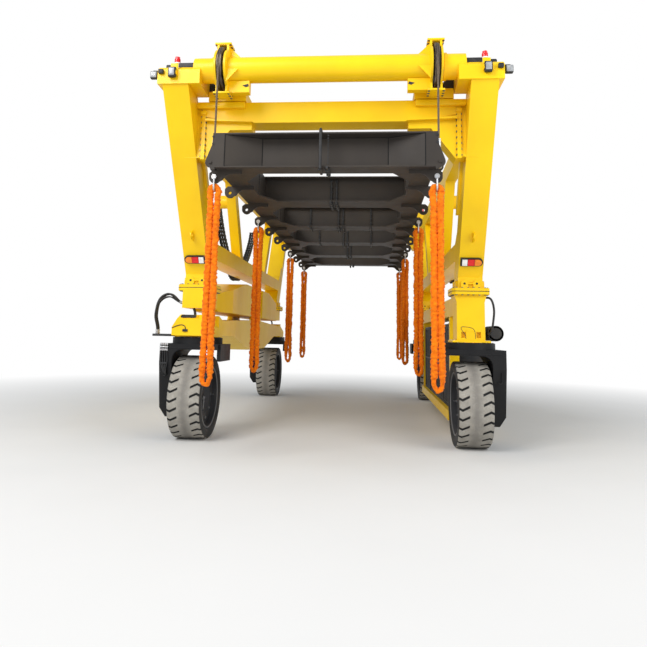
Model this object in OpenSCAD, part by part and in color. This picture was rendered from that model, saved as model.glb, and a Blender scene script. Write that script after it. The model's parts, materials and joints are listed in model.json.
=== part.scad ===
// Rubber tyred gantry crane with a lifting frame for containers, all sizes in millimetres.
// X runs across the crane, Y along it, Z up; the origin lies on the ground between the four wheels.
// The left side stands on an equaliser with a rocker beam, the right side carries the power pack.

/* [Running gear] */
// Distance between the wheel centre lines, measured across the crane
track = 4380; // [4300:10:4460]
// Distance between the front and back wheel centres
wheelbase = 7000; // [6900:10:7300]
// Outer diameter of a tyre
tyre_d = 1300; // [1240:10:1320]
// Width of a tyre
tyre_w = 520; // [460:10:530]
// Cut of a tyre's shoulders
shoulder = 22; // [15:1:30]
// Diameter of the rim under the tyre
rim_d = 960; // [900:10:980]
// Diameter of the axle stub
axle_d = 150; // [120:5:180]
// Depth of the tread grooves
groove_depth = 22; // [15:1:30]
// Pairs of grooves on each shoulder of a tyre
groove_pairs = 14; // [12:1:16]
// Width of a groove
groove_w = 18; // [12:1:24]

/* [Steering forks] */
// Free height between the tyre and the fork's top plate
tyre_headroom = 100; // [80:5:130]
// Gap between the tyre's side and the fork's leg
tyre_side_gap = 30; // [20:5:40]
// Thickness of the fork's leg, across the crane
fork_leg_t = 200; // [140:10:220]
// Thickness of the fork's top plate
fork_plate_t = 90; // [60:5:110]
// Half the depth of the fork, along the crane
fork_half = 400; // [340:10:420]
// Height of the slewing ring
ring_h = 110; // [90:5:130]
// Outer radius of the slewing ring
ring_r = 400; // [360:10:420]
// Running clearance of turning parts
run_gap = 0.3; // [0.2:0.1:0.5]

/* [Legs] */
// Height of the bolted flange joint's underside above the slewing ring
foot_rise = 740; // [720:10:800]
// Thickness of one bolted flange
flange_t = 50; // [30:5:60]
// Side of the square bolted flanges
flange_w = 580; // [540:10:600]
// Width of a leg, across the crane
leg_w = 380; // [340:10:400]
// Horizontal depth of a leg, along the crane
leg_depth = 470; // [430:10:500]
// Depth of the upright foot under a leg
foot_depth = 450; // [400:10:470]
// Height of the upright foot
foot_h = 171; // [150:1:200]
// Height of a leg above its flange
leg_rise = 2760; // [2700:10:2900]
// Lean of the legs towards the ends of the crane, in degrees
lean = 30.6; // [28:0.2:32]

/* [Side frames] */
// Height of the sill beam's underside above the leg flange
sill_up = 460; // [420:10:500]
// Depth of the sill beam
sill_h = 280; // [240:10:300]
// Size of the corner haunches at the sill beam
haunch = 160; // [100:10:200]
// Width of the inner columns, across the crane
column_w = 180; // [150:10:220]
// Depth of the inner columns, along the crane
column_depth = 250; // [200:10:280]
// Distance of an inner column's centre from the middle, at its foot
column_y = 1340; // [1200:10:1500]
// Depth of the top side beams
top_beam_h = 300; // [240:10:340]
// Drop of the top side beams below the leg tops
top_beam_drop = 350; // [320:10:420]

/* [Cross members] */
// Drop of the box cross beam's top below the leg tops
beam_drop = 80; // [60:5:120]
// Height of the box cross beam
beam_h = 320; // [280:10:360]
// Depth of the box cross beam, along the crane
beam_depth = 350; // [300:10:380]
// Height of the bolted joint at the cross beam's ends
joint_h = 880; // [800:10:920]
// Thickness of one plate of that joint
joint_t = 30; // [20:5:40]
// Distance of the bolted joint inside the leg
joint_in = 100; // [80:5:120]
// Diameter of the round cross tube
tube_d = 370; // [320:10:400]
// Height of the head box on a leg, up to the tube's axis
head_h = 270; // [240:10:300]
// Distance of the cross tube's axis past the middle of the leg tops
tube_ahead = 60; // [20:5:80]
// Distance of a rope sheave inside the leg
sheave_in = 470; // [460:5:480]
// Effective radius of a rope sheave, to the rope's centre
sheave_r = 320; // [280:5:330]
// Thickness of a rope sheave
sheave_t = 60; // [50:5:80]
// Diameter of a hoist rope
rope_d = 28; // [20:1:32]

/* [Equaliser] */
// Depth of the equaliser beam's end boxes
end_box_h = 280; // [240:10:300]
// Height of the beam's hump above its end boxes
hump_h = 320; // [260:10:360]
// Width of the beam in its middle
hump_w = 620; // [560:10:640]
// Height of the rocker pin above the underside of the leg flange
pin_up = 60; // [40:5:90]
// Diameter of the rocker pin
pin_d = 160; // [120:5:180]
// Width of the rocker beam
rocker_w = 600; // [540:10:620]
// Overhang of the rocker beam past the wheel centres
rocker_over = 450; // [430:10:480]

/* [Power pack] */
// Gap between the power pack's skid and the tyres
pack_gap = 210; // [150:10:300]
// Distance of the pack's inner side inside the wheel line
pack_in = 140; // [120:5:160]
// Width of the power pack
pack_w = 560; // [500:10:600]
// Height of the skid's underside above the ground
skid_z = 280; // [250:10:350]
// Fins on the radiator panel
fins = 44; // [20:1:60]

/* [Lifting frame] */
// Height of the lifting frame's underside above the ground
frame_z = 3870; // [3860:10:3900]
// Reach of the lifting frame's ends past the hoist ropes
frame_past = 169; // [160:1:180]
// Gap between the lifting frame's side and the legs
frame_gap = 530; // [525:5:540]
// Height of the end beams
end_h = 480; // [440:10:500]
// Depth of the end beams, along the crane
end_depth = 330; // [300:10:350]
// Width of the side rails
rail_w = 300; // [260:10:320]
// Height of the side rails and inner beams
rail_h = 430; // [380:10:440]
// Width of an inner beam's flanges
inner_w = 480; // [400:10:520]
// Distance of an inner beam of the middle pair from the middle
inner_y1 = 1050; // [1000:10:1150]
// Distance of an inner beam of the outer pair from the middle
inner_y2 = 3300; // [3200:10:3350]
// Thickness of the lifting lugs
lug_t = 40; // [30:5:50]
// Diameter of the hole in a lifting lug
lug_hole_d = 50; // [40:1:56]
// Distance of the lugs' holes outside the frame's side
lug_out = 30; // [20:5:40]
// Distance between the lugs of the middle row
lug_pitch = 1110; // [1050:10:1150]
// Distance of the last lug from the frame's end
lug_end = 170; // [150:10:200]
// Distance of the last lug but one from the frame's end
lug_end_gap = 1040; // [1000:10:1100]
// Distance of the lug holes below the frame's underside
lug_drop = 100; // [80:5:120]

/* [Hidden] */

$fn = 64;
eps = 0.01;
seam = 0.2;
front = -1;
back = 1;
left = -1;
right = 1;

// Wheel line and the levels of the running gear
wheel_x = track / 2;
wheel_y = wheelbase / 2;
tyre_r = tyre_d / 2;
plate_z = tyre_d + tyre_headroom;
fork_top = plate_z + fork_plate_t;
turn_z = fork_top + ring_h;
foot_z = turn_z + foot_rise;
leg_z = foot_z + 2 * flange_t;
leg_top = leg_z + leg_rise;

// Faces of a leaning leg at a height
slope = tan(lean);
bend_z = leg_z + foot_h;
function leg_out(z) = wheel_y + foot_depth / 2 + (z - bend_z) * slope;
function leg_in(z) = leg_out(z) - leg_depth;
function leg_seam(z) = leg_in(z) - seam;
leg_x0 = wheel_x - leg_w / 2;
leg_x1 = wheel_x + leg_w / 2;

// Levels of the side frame's beams
sill_z = leg_z + sill_up;
sill_top = sill_z + sill_h;
top_beam_top = leg_top - top_beam_drop;
top_beam_z = top_beam_top - top_beam_h;

// Cross members at the leg tops
joint_x = leg_x0 - joint_in;
sheave_x = leg_x0 - sheave_in;
beam_top = leg_top - beam_drop;
beam_z = beam_top - beam_h;
beam_y1 = leg_in(beam_top);
beam_y0 = beam_y1 - beam_depth;
joint_z = beam_top - joint_h;
tube_y = (leg_in(leg_top) + leg_out(leg_top)) / 2 + tube_ahead;
tube_z = leg_top + head_h;
bracket_gap = sheave_t + 50;
bracket_t = 30;
bracket_x0 = sheave_x - bracket_gap / 2 - bracket_t;
bracket_x1 = sheave_x + bracket_gap / 2 + bracket_t;
sheave_pin_d = 100;
rope_y = tube_y + sheave_r;
rope_back_y = tube_y - sheave_r;

// Lifting frame
deck_t = 20;
frame_top = frame_z + end_h;
frame_x = leg_x0 - frame_gap;
frame_half = round(rope_y) + frame_past;
lug_x = frame_x + lug_out;
lug_z = frame_z - lug_drop;
lug_ys = concat([for (n = [0 : 3]) n * lug_pitch], [frame_half - lug_end_gap, frame_half - lug_end]);
sling_ys = [2 * lug_pitch, frame_half - lug_end];
socket_z = frame_z + 250;
socket_d = 2 * rope_d + 4;
socket_h = 3 * socket_d;
ear_z = frame_z + 70;
ear_pin_d = 40;

// Power pack between the right wheels
pack_x = wheel_x - pack_in;
pack_half = wheel_y - tyre_r - pack_gap;
pack_top = foot_z - 330;

// Lashing lugs on the legs
tie_z = leg_z + 750;
tie_t = 20;
tie_r = 55;
tie_y = leg_out(tie_z) + tie_r + 15;

// Places the model of the right back corner at any corner
module at_corner(side, end) {
    mirror([side < 0 ? 1 : 0, 0, 0]) mirror([0, end < 0 ? 1 : 0, 0]) children();
}

module both_ends() {
    children();
    mirror([0, 1, 0]) children();
}

module both_sides() {
    children();
    mirror([1, 0, 0]) children();
}

// Outline of Y and Z points, from x0 to x1
module side_plate(x0, x1, points) {
    translate([x0, 0, 0]) rotate([90, 0, 90]) linear_extrude(x1 - x0) polygon(points);
}

// Outline of X and Z points, from y0 to y1
module front_plate(y0, y1, points) {
    translate([0, y1, 0]) rotate([90, 0, 0]) linear_extrude(y1 - y0) polygon(points);
}

// Box between two corners
module block(low, high) {
    translate(low) cube(high - low);
}

// Cylinder along X from x0 to x1
module x_rod(x0, x1, y, z, d) {
    translate([x0, y, z]) rotate([0, 90, 0]) cylinder(h = x1 - x0, d = d);
}

// Cylinder along Y from y0 to y1
module y_rod(x, y0, y1, z, d) {
    translate([x, y0, z]) rotate([-90, 0, 0]) cylinder(h = y1 - y0, d = d);
}

// Square flange with cut corners
module flange(z, t, w) {
    cut = w / 12;
    h = w / 2;
    translate([wheel_x, wheel_y, z]) linear_extrude(t)
        polygon([[-h + cut, -h], [h - cut, -h], [h, -h + cut], [h, h - cut],
                 [h - cut, h], [-h + cut, h], [-h, h - cut], [-h, -h + cut]]);
}

// Leg with its foot, its flange, its bolting ears and the stub that takes the cross beam
module leg() {
    foot_in = wheel_y - foot_depth / 2;
    bend_in = bend_z + (leg_depth - foot_depth) / slope;
    color("gold") {
        side_plate(leg_x0, leg_x1,
            [[foot_in, leg_z], [wheel_y + foot_depth / 2, leg_z],
             [wheel_y + foot_depth / 2, bend_z], [leg_out(leg_top), leg_top],
             [leg_in(leg_top), leg_top], [foot_in, bend_in]]);
        flange(foot_z + flange_t, flange_t, flange_w);
        leg_ears();
        leg_stub();
        tie_lug();
    }
}

// Lashing lug on the outer face of a leg, bored across
module tie_lug() {
    root = 20;
    base = 80;
    difference() {
        union() {
            side_plate(wheel_x - tie_t / 2, wheel_x + tie_t / 2,
                [[leg_out(tie_z - base) - root, tie_z - base], [tie_y, tie_z - tie_r],
                 [tie_y, tie_z + tie_r], [leg_out(tie_z + base) - root, tie_z + base]]);
            x_rod(wheel_x - tie_t / 2, wheel_x + tie_t / 2, tie_y, tie_z, 2 * tie_r);
        }
        x_rod(wheel_x - tie_t, wheel_x + tie_t, tie_y, tie_z, lug_hole_d);
    }
}

// Scalloped ears with two bosses on each face of the foot
module leg_ears() {
    ear_t = 35;
    ear_h = 125;
    boss_d = 110;
    for (dx = [-1, 1]) {
        for (face = [-1, 1]) {
            y = wheel_y + face * foot_depth / 2;
            y0 = face < 0 ? y - ear_t : y;
            intersection() {
                union() {
                    y_rod(wheel_x + dx * leg_w / 4, y0, y0 + ear_t, leg_z + ear_h - boss_d / 2, boss_d);
                    block([wheel_x + dx * leg_w / 4 - boss_d / 2, y0, leg_z],
                          [wheel_x + dx * leg_w / 4 + boss_d / 2, y0 + ear_t, leg_z + ear_h - boss_d / 2]);
                }
                block([leg_x0 - ear_t, y0, leg_z], [leg_x1 + ear_t, y0 + ear_t, leg_z + ear_h]);
            }
        }
    }
    for (dy = [-1, 1]) {
        for (x0 = [leg_x0 - ear_t, leg_x1]) {
            x_rod(x0, x0 + ear_t, wheel_y + dy * foot_depth / 4, leg_z + ear_h - boss_d / 2, boss_d);
            block([x0, wheel_y + dy * foot_depth / 4 - boss_d / 2, leg_z],
                  [x0 + ear_t, wheel_y + dy * foot_depth / 4 + boss_d / 2, leg_z + ear_h - boss_d / 2]);
        }
    }
}

// Stub between the leg and the cross beam's bolted joint, with the rib that runs down the leg
stub_inset = 30;

module leg_stub() {
    rib_z = sill_top + 400;
    rib_t = 40;
    inset = stub_inset;
    block([joint_x, beam_y0, joint_z], [joint_x + joint_t, beam_y1, beam_top]);
    block([joint_x + joint_t - eps, beam_y0 + inset, joint_z + inset],
          [wheel_x, beam_y1 - inset, beam_top - inset]);
    side_plate(leg_x0 - rib_t, leg_x0 + eps,
        [[leg_in(rib_z), rib_z], [leg_in(rib_z) + 90, rib_z],
         [leg_in(beam_z) + 160, beam_z], [beam_y0 + inset, beam_z], [leg_in(joint_z), joint_z]]);
}

module sill_beams() {
    color("gold") both_sides() side_plate(leg_x0, leg_x1,
        concat(
            [[-leg_seam(sill_z), sill_z], [leg_seam(sill_z), sill_z],
             [leg_seam(sill_top + haunch), sill_top + haunch], [leg_in(sill_top) - haunch, sill_top]],
            [[-leg_in(sill_top) + haunch, sill_top], [-leg_seam(sill_top + haunch), sill_top + haunch]]));
}

function column_mid(z) = column_y + (z - sill_top) * slope;
drum_z = top_beam_z - 300;
drum_y = column_mid(drum_z) - 150;
drum_d = 260;

// Inner columns, with the round drums on their outer faces that the cable chains hang from
module side_columns() {
    color("gold") both_sides() both_ends() {
        side_plate(leg_x0, leg_x0 + column_w,
            [[column_mid(sill_top) - column_depth / 2, sill_top],
             [column_mid(sill_top) + column_depth / 2, sill_top],
             [column_mid(top_beam_z) + column_depth / 2, top_beam_z],
             [column_mid(top_beam_z) - column_depth / 2, top_beam_z]]);
        x_rod(leg_x0 + column_w - eps, leg_x1, drum_y, drum_z, drum_d);
    }
}

module top_side_beams() {
    x1 = leg_x0 + column_w + 20;
    color("gold") both_sides() difference() {
        side_plate(leg_x0 + seam, x1,
            [[-leg_seam(top_beam_z), top_beam_z], [leg_seam(top_beam_z), top_beam_z],
             [leg_seam(top_beam_top), top_beam_top], [-leg_seam(top_beam_top), top_beam_top]]);
        both_ends() block([leg_x0 - 1, beam_y0 + stub_inset - seam, joint_z],
                          [x1 + 1, leg_in(leg_top), beam_top]);
    }
}

// Round tube between the sheave brackets, and its outer collars up to the head boxes
module cross_tubes() {
    collar_x = wheel_x - leg_w / 2 - 60;
    color("gold") both_ends() {
        x_rod(-bracket_x0, bracket_x0, tube_y, tube_z, tube_d);
        both_sides() {
            x_rod(bracket_x1, collar_x, tube_y, tube_z, tube_d - 10);
            x_rod(bracket_x1 + 20, bracket_x1 + 60, tube_y, tube_z, tube_d + 20);
        }
    }
}

// Box beam with a knee at each end and the beam's half of the bolted joint
module cross_beams() {
    knee_x0 = joint_x - 730;
    knee_x1 = joint_x - 400;
    knee_z = beam_z - 100;
    rise_x = joint_x - 600;
    inset = 30;
    color("gold") both_ends() {
        front_plate(beam_y0, beam_y1,
            [[-joint_x + joint_t, beam_z + 100], [-rise_x, beam_z], [rise_x, beam_z],
             [joint_x - joint_t, beam_z + 100], [joint_x - joint_t, beam_top],
             [-joint_x + joint_t, beam_top]]);
        both_sides() {
            front_plate(beam_y0 + inset, beam_y1 - inset,
                [[knee_x0, knee_z], [knee_x1, knee_z], [joint_x - joint_t - 20, joint_z],
                 [joint_x - joint_t, joint_z], [joint_x - joint_t, beam_top - inset],
                 [knee_x0, beam_top - inset]]);
            block([joint_x - joint_t, beam_y0, joint_z], [joint_x, beam_y1, beam_top]);
        }
    }
}

// Box on each leg's top that carries the tube's end in a saddle
module head_boxes() {
    over = 25;
    x0 = leg_x0 - 170;
    x1 = leg_x1 + 70;
    color("gold") both_sides() both_ends() difference() {
        side_plate(x0, x1,
            [[leg_in(leg_top) - over, leg_top], [leg_out(leg_top) + over, leg_top],
             [leg_out(leg_top) + over, tube_z - 60], [leg_out(leg_top) - 40, tube_z],
             [leg_in(leg_top) - over, tube_z]]);
        x_rod(x0 - 1, leg_x0 - 60 + 1, tube_y, tube_z, tube_d - 10 + 2 * run_gap);
    }
}

// Two cheek plates with a cap, a lower box, gussets and the sheave's pin
module sheave_bracket() {
    cheek_r = sheave_r - 30;
    cap_z = tube_z + sheave_r + 30;
    base_z = tube_z - sheave_r - 40;
    neck = 110;
    gusset_w = 170;
    gusset_t = 15;
    low_gusset_z = tube_z - tube_d / 6;
    box_w = 310;
    box_d = 120;
    color("gold") {
        for (x0 = [bracket_x0, bracket_x1 - bracket_t]) {
            x_rod(x0, x0 + bracket_t, tube_y, tube_z, 2 * cheek_r);
            block([x0, tube_y - neck, tube_z], [x0 + bracket_t, tube_y + neck, cap_z]);
            block([x0, tube_y - neck, base_z], [x0 + bracket_t, tube_y + neck, tube_z]);
        }
        block([bracket_x0, tube_y - neck, cap_z - eps],
              [bracket_x1, tube_y + neck, cap_z + 20]);
        block([bracket_x0, tube_y - neck, base_z - 20],
              [bracket_x1, tube_y + neck, base_z + eps]);
        x_rod(bracket_x0, bracket_x1, tube_y, tube_z, sheave_pin_d);
        front_plate(tube_y - gusset_t, tube_y + gusset_t,
            [[bracket_x0 + eps, tube_z + tube_d / 2], [bracket_x0 + eps, cap_z],
             [bracket_x0 - gusset_w, tube_z + tube_d / 2]]);
        front_plate(tube_y + tube_d / 2 + seam, tube_y + tube_d / 2 + gusset_t,
            [[bracket_x0 + eps, low_gusset_z], [bracket_x0 - gusset_w, low_gusset_z],
             [bracket_x0 + eps, base_z + neck]]);
        block([bracket_x0 - box_w, tube_y - box_d / 2, base_z],
              [bracket_x0 + eps, tube_y + box_d / 2, tube_z - tube_d / 2 - seam]);
    }
}

module sheave_brackets() {
    both_sides() both_ends() sheave_bracket();
}

// Grooved rope sheave with a bored hub and a dished web
module sheave() {
    rim_r = sheave_r + 10;
    groove = rope_d / 2 + 1;
    web_t = 24;
    ring_w = 60;
    color("dimgray") translate([sheave_x, tube_y, tube_z]) rotate([0, 90, 0])
        rotate_extrude($fn = 96) difference() {
            union() {
                translate([sheave_pin_d / 2 + run_gap, -sheave_t / 2])
                    square([ring_w, sheave_t]);
                translate([sheave_pin_d / 2 + run_gap, -web_t / 2])
                    square([rim_r - sheave_pin_d / 2 - ring_w, web_t]);
                translate([sheave_r - ring_w, -sheave_t / 2])
                    square([rim_r - sheave_r + ring_w, sheave_t]);
            }
            translate([sheave_r, 0]) circle(groove);
            translate([sheave_r, -groove]) square([ring_w, 2 * groove]);
        }
}

// Each rope runs up from its winch, over the sheave and down to its socket
module hoist_ropes() {
    color("dimgray") both_sides() both_ends() {
        translate([sheave_x, rope_y, socket_z + socket_h])
            cylinder(h = tube_z - socket_z - socket_h, d = rope_d);
        translate([sheave_x, rope_back_y, beam_top + winch_floor])
            cylinder(h = tube_z - beam_top - winch_floor, d = rope_d);
        translate([sheave_x, tube_y, tube_z]) rotate([0, 90, 0])
            rotate([0, 0, 90]) rotate_extrude(angle = 180) translate([sheave_r, 0]) circle(d = rope_d);
    }
}

// Winch housing on the cross beam, with the pocket that the rope runs into
winch_floor = 40;

module rope_winches() {
    pocket = rope_d + 2;
    wall = pocket / 2;
    rim = beam_depth / 17.5;
    x0 = sheave_x - sheave_r + 40;
    x1 = joint_x - 80;
    h = beam_h / 2 - 10;
    motor_w = 160;
    motor_y0 = beam_y0 + 3 * rim;
    color("goldenrod") both_sides() both_ends() {
        difference() {
            block([x0, beam_y0 + rim, beam_top], [x1, rope_back_y + pocket + wall, beam_top + h]);
            block([sheave_x - pocket, rope_back_y - pocket, beam_top + winch_floor],
                  [sheave_x + pocket, rope_back_y + pocket, beam_top + h + 1]);
        }
        block([x1 - rim - motor_w, motor_y0, beam_top + h],
              [x1 - rim, motor_y0 + beam_depth * 2 / 3, beam_top + 2 * h]);
    }
}

// Equaliser beam on the left side: end boxes, a wide hump and the narrow waist at the pin
module equaliser_beam() {
    half_w = hump_w / 2;
    end_w = 200;
    end_in = wheel_y - 350;
    end_out = wheel_y + 300;
    low_z = foot_z - end_box_h;
    mid_z = low_z - 30;
    hump_y = 1300;
    waist_w = 150;
    waist_y = 450;
    top_z = foot_z + hump_h;
    pin_z = foot_z + pin_up;
    color("gold") {
        difference() {
            intersection() {
                side_plate(-wheel_x - half_w, -wheel_x + half_w,
                    [[-end_out, low_z], [-end_in, low_z], [-end_in + 60, mid_z],
                     [end_in - 60, mid_z], [end_in, low_z], [end_out, low_z],
                     [end_out, foot_z], [end_in, foot_z], [hump_y, top_z],
                     [-hump_y, top_z], [-end_in, foot_z], [-end_out, foot_z]]);
                translate([-wheel_x, 0, mid_z - 1]) linear_extrude(top_z - mid_z + 2) polygon(
                    [[-end_w, -end_out], [end_w, -end_out], [end_w, -end_in],
                     [half_w, -end_in + 700], [half_w, end_in - 700], [end_w, end_in],
                     [end_w, end_out], [-end_w, end_out], [-end_w, end_in],
                     [-half_w, end_in - 700], [-half_w, -end_in + 700], [-end_w, -end_in]]);
            }
            for (side = [-1, 1]) {
                x_in = -wheel_x + side * waist_w;
                x_out = -wheel_x + side * (half_w + 1);
                block([min(x_in, x_out), -waist_y, mid_z - 1],
                      [max(x_in, x_out), waist_y, top_z + 1]);
            }
            x_rod(-wheel_x - half_w, -wheel_x + half_w, 0, pin_z, pin_d + 2 * run_gap);
        }
        both_ends() mirror([1, 0, 0]) flange(foot_z, flange_t, flange_w);
    }
}

// Rocker beam that carries the left wheels and tilts about the pin through the equaliser beam
module rocker_beam() {
    half_w = rocker_w / 2;
    end_y = wheel_y + rocker_over;
    end_z = turn_z + 350;
    side_z = turn_z + 280;
    mid_top = turn_z + 360;
    chamfer_w = 120;
    chamfer_h = 200;
    chamfer_y = wheel_y - 150;
    slot_w = 130;
    slot_h = 60;
    rest_z = turn_z + 40;
    mid_z = turn_z - 260;
    belly_y = 900;
    knee_y = 2300;
    low_z = turn_z + 20;
    cheek_t = 110;
    cheek_y = 380;
    foot_w = 315;
    pin_z = foot_z + pin_up;
    color("gold") {
        difference() {
            union() {
                side_plate(-wheel_x - half_w, -wheel_x + half_w,
                    [[-end_y, low_z], [-knee_y, low_z], [-belly_y, mid_z], [belly_y, mid_z],
                     [knee_y, low_z], [end_y, low_z], [end_y, end_z - slot_h], [end_y - slot_h, end_z],
                     [chamfer_y, end_z], [wheel_y - 400, side_z], [cheek_y, mid_top],
                     [-cheek_y, mid_top], [400 - wheel_y, side_z], [-chamfer_y, end_z],
                     [slot_h - end_y, end_z], [-end_y, end_z - slot_h]]);
                for (side = [-1, 1]) {
                    x0 = -wheel_x + (side < 0 ? -half_w : half_w - cheek_t);
                    difference() {
                        union() {
                            x_rod(x0, x0 + cheek_t, 0, pin_z, 360);
                            side_plate(x0, x0 + cheek_t,
                                [[-cheek_y, mid_top - 1], [cheek_y, mid_top - 1],
                                 [180, pin_z], [-180, pin_z]]);
                        }
                        x_rod(x0 - 1, x0 + cheek_t + 1, 0, pin_z, pin_d);
                    }
                }
                both_ends() block([-wheel_x - foot_w, wheel_y - foot_w, turn_z],
                                  [-wheel_x + foot_w, wheel_y + foot_w, low_z + eps]);
            }
            both_ends() {
                block([-wheel_x - slot_w, end_y - slot_w, end_z - slot_h],
                      [-wheel_x + slot_w, end_y + 1, end_z + 1]);
                for (side = [-1, 1]) {
                    front_plate(chamfer_y, end_y + 1,
                        [[-wheel_x + side * (half_w + 1), end_z - chamfer_h],
                         [-wheel_x + side * (half_w + 1), end_z + 1],
                         [-wheel_x + side * (half_w - chamfer_w), end_z + 1]]);
                }
            }
        }
        both_ends() mirror([1, 0, 0]) inner_ring();
        block([hose_end[0] - hose_rest, -wheel_y - 400, rest_z - 20],
              [eps - wheel_x - half_w, -wheel_y - 200, rest_z]);
    }
}

module rocker_pin() {
    half_w = rocker_w / 2;
    color("silver") {
        x_rod(-wheel_x - half_w, -wheel_x + half_w, 0, foot_z + pin_up, pin_d);
        x_rod(-wheel_x - half_w - 25, -wheel_x - half_w, 0, foot_z + pin_up, pin_d + 40);
        x_rod(-wheel_x + half_w, -wheel_x + half_w + 25, 0, foot_z + pin_up, pin_d + 40);
    }
}

// Inner slewing ring, fixed to what stands on the fork
module inner_ring() {
    inner_r = ring_r - 70;
    translate([wheel_x, wheel_y, fork_top + 10]) difference() {
        cylinder(h = turn_z - fork_top - 10 + eps, r = inner_r - run_gap);
        translate([0, 0, -1]) cylinder(h = ring_h + 2, r = inner_r - 60);
    }
}

// Lower columns on the right side, joined by the lower side beam
module right_lower_frame() {
    half = 215;
    flare = 250;
    base_w = 580;
    base_t = 30;
    beam_x0 = leg_x0;
    beam_x1 = leg_x1;
    beam_low = foot_z - 310;
    color("gold") {
        both_ends() {
            difference() {
                union() {
                    translate([wheel_x - base_w / 2, wheel_y - base_w / 2, turn_z])
                        cube([base_w, base_w, base_t]);
                    front_plate(wheel_y - foot_depth / 2, wheel_y + foot_depth / 2,
                        [[wheel_x - half, turn_z + base_t], [wheel_x + half, turn_z + base_t],
                         [wheel_x + half, foot_z - 120], [wheel_x + flare, foot_z],
                         [wheel_x - flare, foot_z], [wheel_x - half, foot_z - 120]]);
                }
                for (dx = [-115, 115]) {
                    block([wheel_x + dx - 35, wheel_y + foot_depth / 2 - 60, turn_z + base_t + 40],
                          [wheel_x + dx + 35, wheel_y + foot_depth / 2 + 1, turn_z + base_t + 130]);
                }
            }
            flange(foot_z, flange_t, flange_w);
            inner_ring();
        }
        block([beam_x0, -wheel_y + foot_depth / 2, beam_low],
              [beam_x1, wheel_y - foot_depth / 2, foot_z - 10]);
    }
}

// Fork: outer slewing ring, top plate, one outer leg with an arched corner and the axle stub
module fork() {
    leg_in_x = wheel_x + tyre_w / 2 + tyre_side_gap;
    leg_out_x = leg_in_x + fork_leg_t;
    inner_x = wheel_x - 440;
    low_z = tyre_r - 300;
    arch = 150;
    arch_steps = 8;
    lip_t = 60;
    lip_z = fork_top - 270;
    leg_foot = 250;
    cut = 90;
    arc_x = leg_in_x - arch;
    arc_z = plate_z - arch;
    color("#26282b") {
        intersection() {
            front_plate(wheel_y - fork_half, wheel_y + fork_half,
                concat(
                    [[inner_x, fork_top], [inner_x, plate_z]],
                    [for (i = [0 : arch_steps]) [arc_x + arch * sin(90 * i / arch_steps),
                                                 arc_z + arch * cos(90 * i / arch_steps)]],
                    [[leg_in_x, low_z], [leg_out_x - cut, low_z], [leg_out_x, low_z + cut * 1.6],
                     [leg_out_x, fork_top]]));
            side_plate(inner_x, leg_out_x,
                [[wheel_y - fork_half, fork_top], [wheel_y + fork_half, fork_top],
                 [wheel_y + fork_half, plate_z - 200], [wheel_y + leg_foot, low_z],
                 [wheel_y - leg_foot, low_z], [wheel_y - fork_half, plate_z - 200]]);
        }
        side_plate(inner_x - lip_t / 2, inner_x + lip_t / 2,
            [[wheel_y - fork_half + 80, fork_top], [wheel_y + fork_half - 80, fork_top],
             [wheel_y + fork_half - 80, lip_z], [wheel_y - fork_half + 80, lip_z]]);
        translate([wheel_x, wheel_y, fork_top - eps]) difference() {
            cylinder(h = ring_h - 10 + eps, r = ring_r);
            translate([0, 0, 10]) cylinder(h = ring_h, r = ring_r - 70);
            translate([0, 0, -1]) cylinder(h = ring_h, r = ring_r - 150);
        }
        x_rod(wheel_x - 120, leg_in_x + eps, wheel_y, tyre_r, axle_d);
        x_rod(leg_in_x - tyre_side_gap / 2, leg_in_x + eps, wheel_y, tyre_r, axle_d + 160);
    }
}

// Places a wheel's piece at a corner without mirroring it, so that all treads point one way
module at_wheel(side, end) {
    translate([side * wheel_x, end * wheel_y, tyre_r]) children();
}

// Half outline of a tyre's section, with beads at the rim and cut shoulders
module tyre_section() {
    half = tyre_w / 2;
    bead = 60;
    side = [[rim_d / 2, half - bead / 2], [rim_d / 2 + bead, half], [tyre_r - bead, half],
            [tyre_r - 16, half - 6], [tyre_r, half - shoulder]];
    polygon(concat([for (p = side) [p[0], -p[1]]],
                   [for (i = [len(side) - 1 : -1 : 0]) side[i]]));
}

// Check-shaped groove across a shoulder: in from the edge, back to a dip and on to its inner end
module groove() {
    half = tyre_w / 2;
    edge = [-half - 20, 8];
    dip = [-half + 56, -28];
    inner = [-half + 157, 22];
    across = [0, groove_w / 2];
    linear_extrude(2 * groove_depth) polygon(
        [edge - across, dip - across, inner - across, inner + across, dip + across, edge + across]);
}

// Tyre with pairs of grooves on both shoulders, those on the right turned round and half a step on
module tyre() {
    step = 180 / groove_pairs;
    color("#6e6c69") difference() {
        rotate([0, 90, 0]) rotate_extrude($fn = 128) tyre_section();
        for (i = [0 : 2 * groove_pairs - 1]) {
            rotate([i * step, 0, 0]) translate([0, 0, tyre_r - groove_depth]) groove();
            rotate([(i + 0.5) * step, 0, 0]) translate([0, 0, tyre_r - groove_depth])
                rotate([0, 0, 180]) groove();
        }
    }
}

// Rim: outer band, dished disc towards the leg and a bored hub on the axle stub
module rim() {
    rim_r = rim_d / 2;
    bead = tyre_w / 2 - 30;
    band_t = 22;
    hub_r = 160;
    cone_r = 300;
    disc_t = 30;
    dish = 150;
    color("#3c4043") translate([wheel_x, wheel_y, tyre_r]) rotate([0, 90, 0])
        rotate_extrude($fn = 96) polygon(
            [[rim_r, -bead], [rim_r, bead], [rim_r - band_t, bead], [rim_r - band_t, disc_t - dish],
             [cone_r, disc_t - dish], [hub_r, 20], [hub_r, bead - 10],
             [axle_d / 2 + run_gap, bead - 10], [axle_d / 2 + run_gap, -60], [hub_r - 45, -60],
             [hub_r - 45, -20], [cone_r - 20, -dish], [rim_r - band_t, -dish], [rim_r - band_t, -bead]]);
}

skid_rail = 160;
radiator_t = 60;

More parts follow.
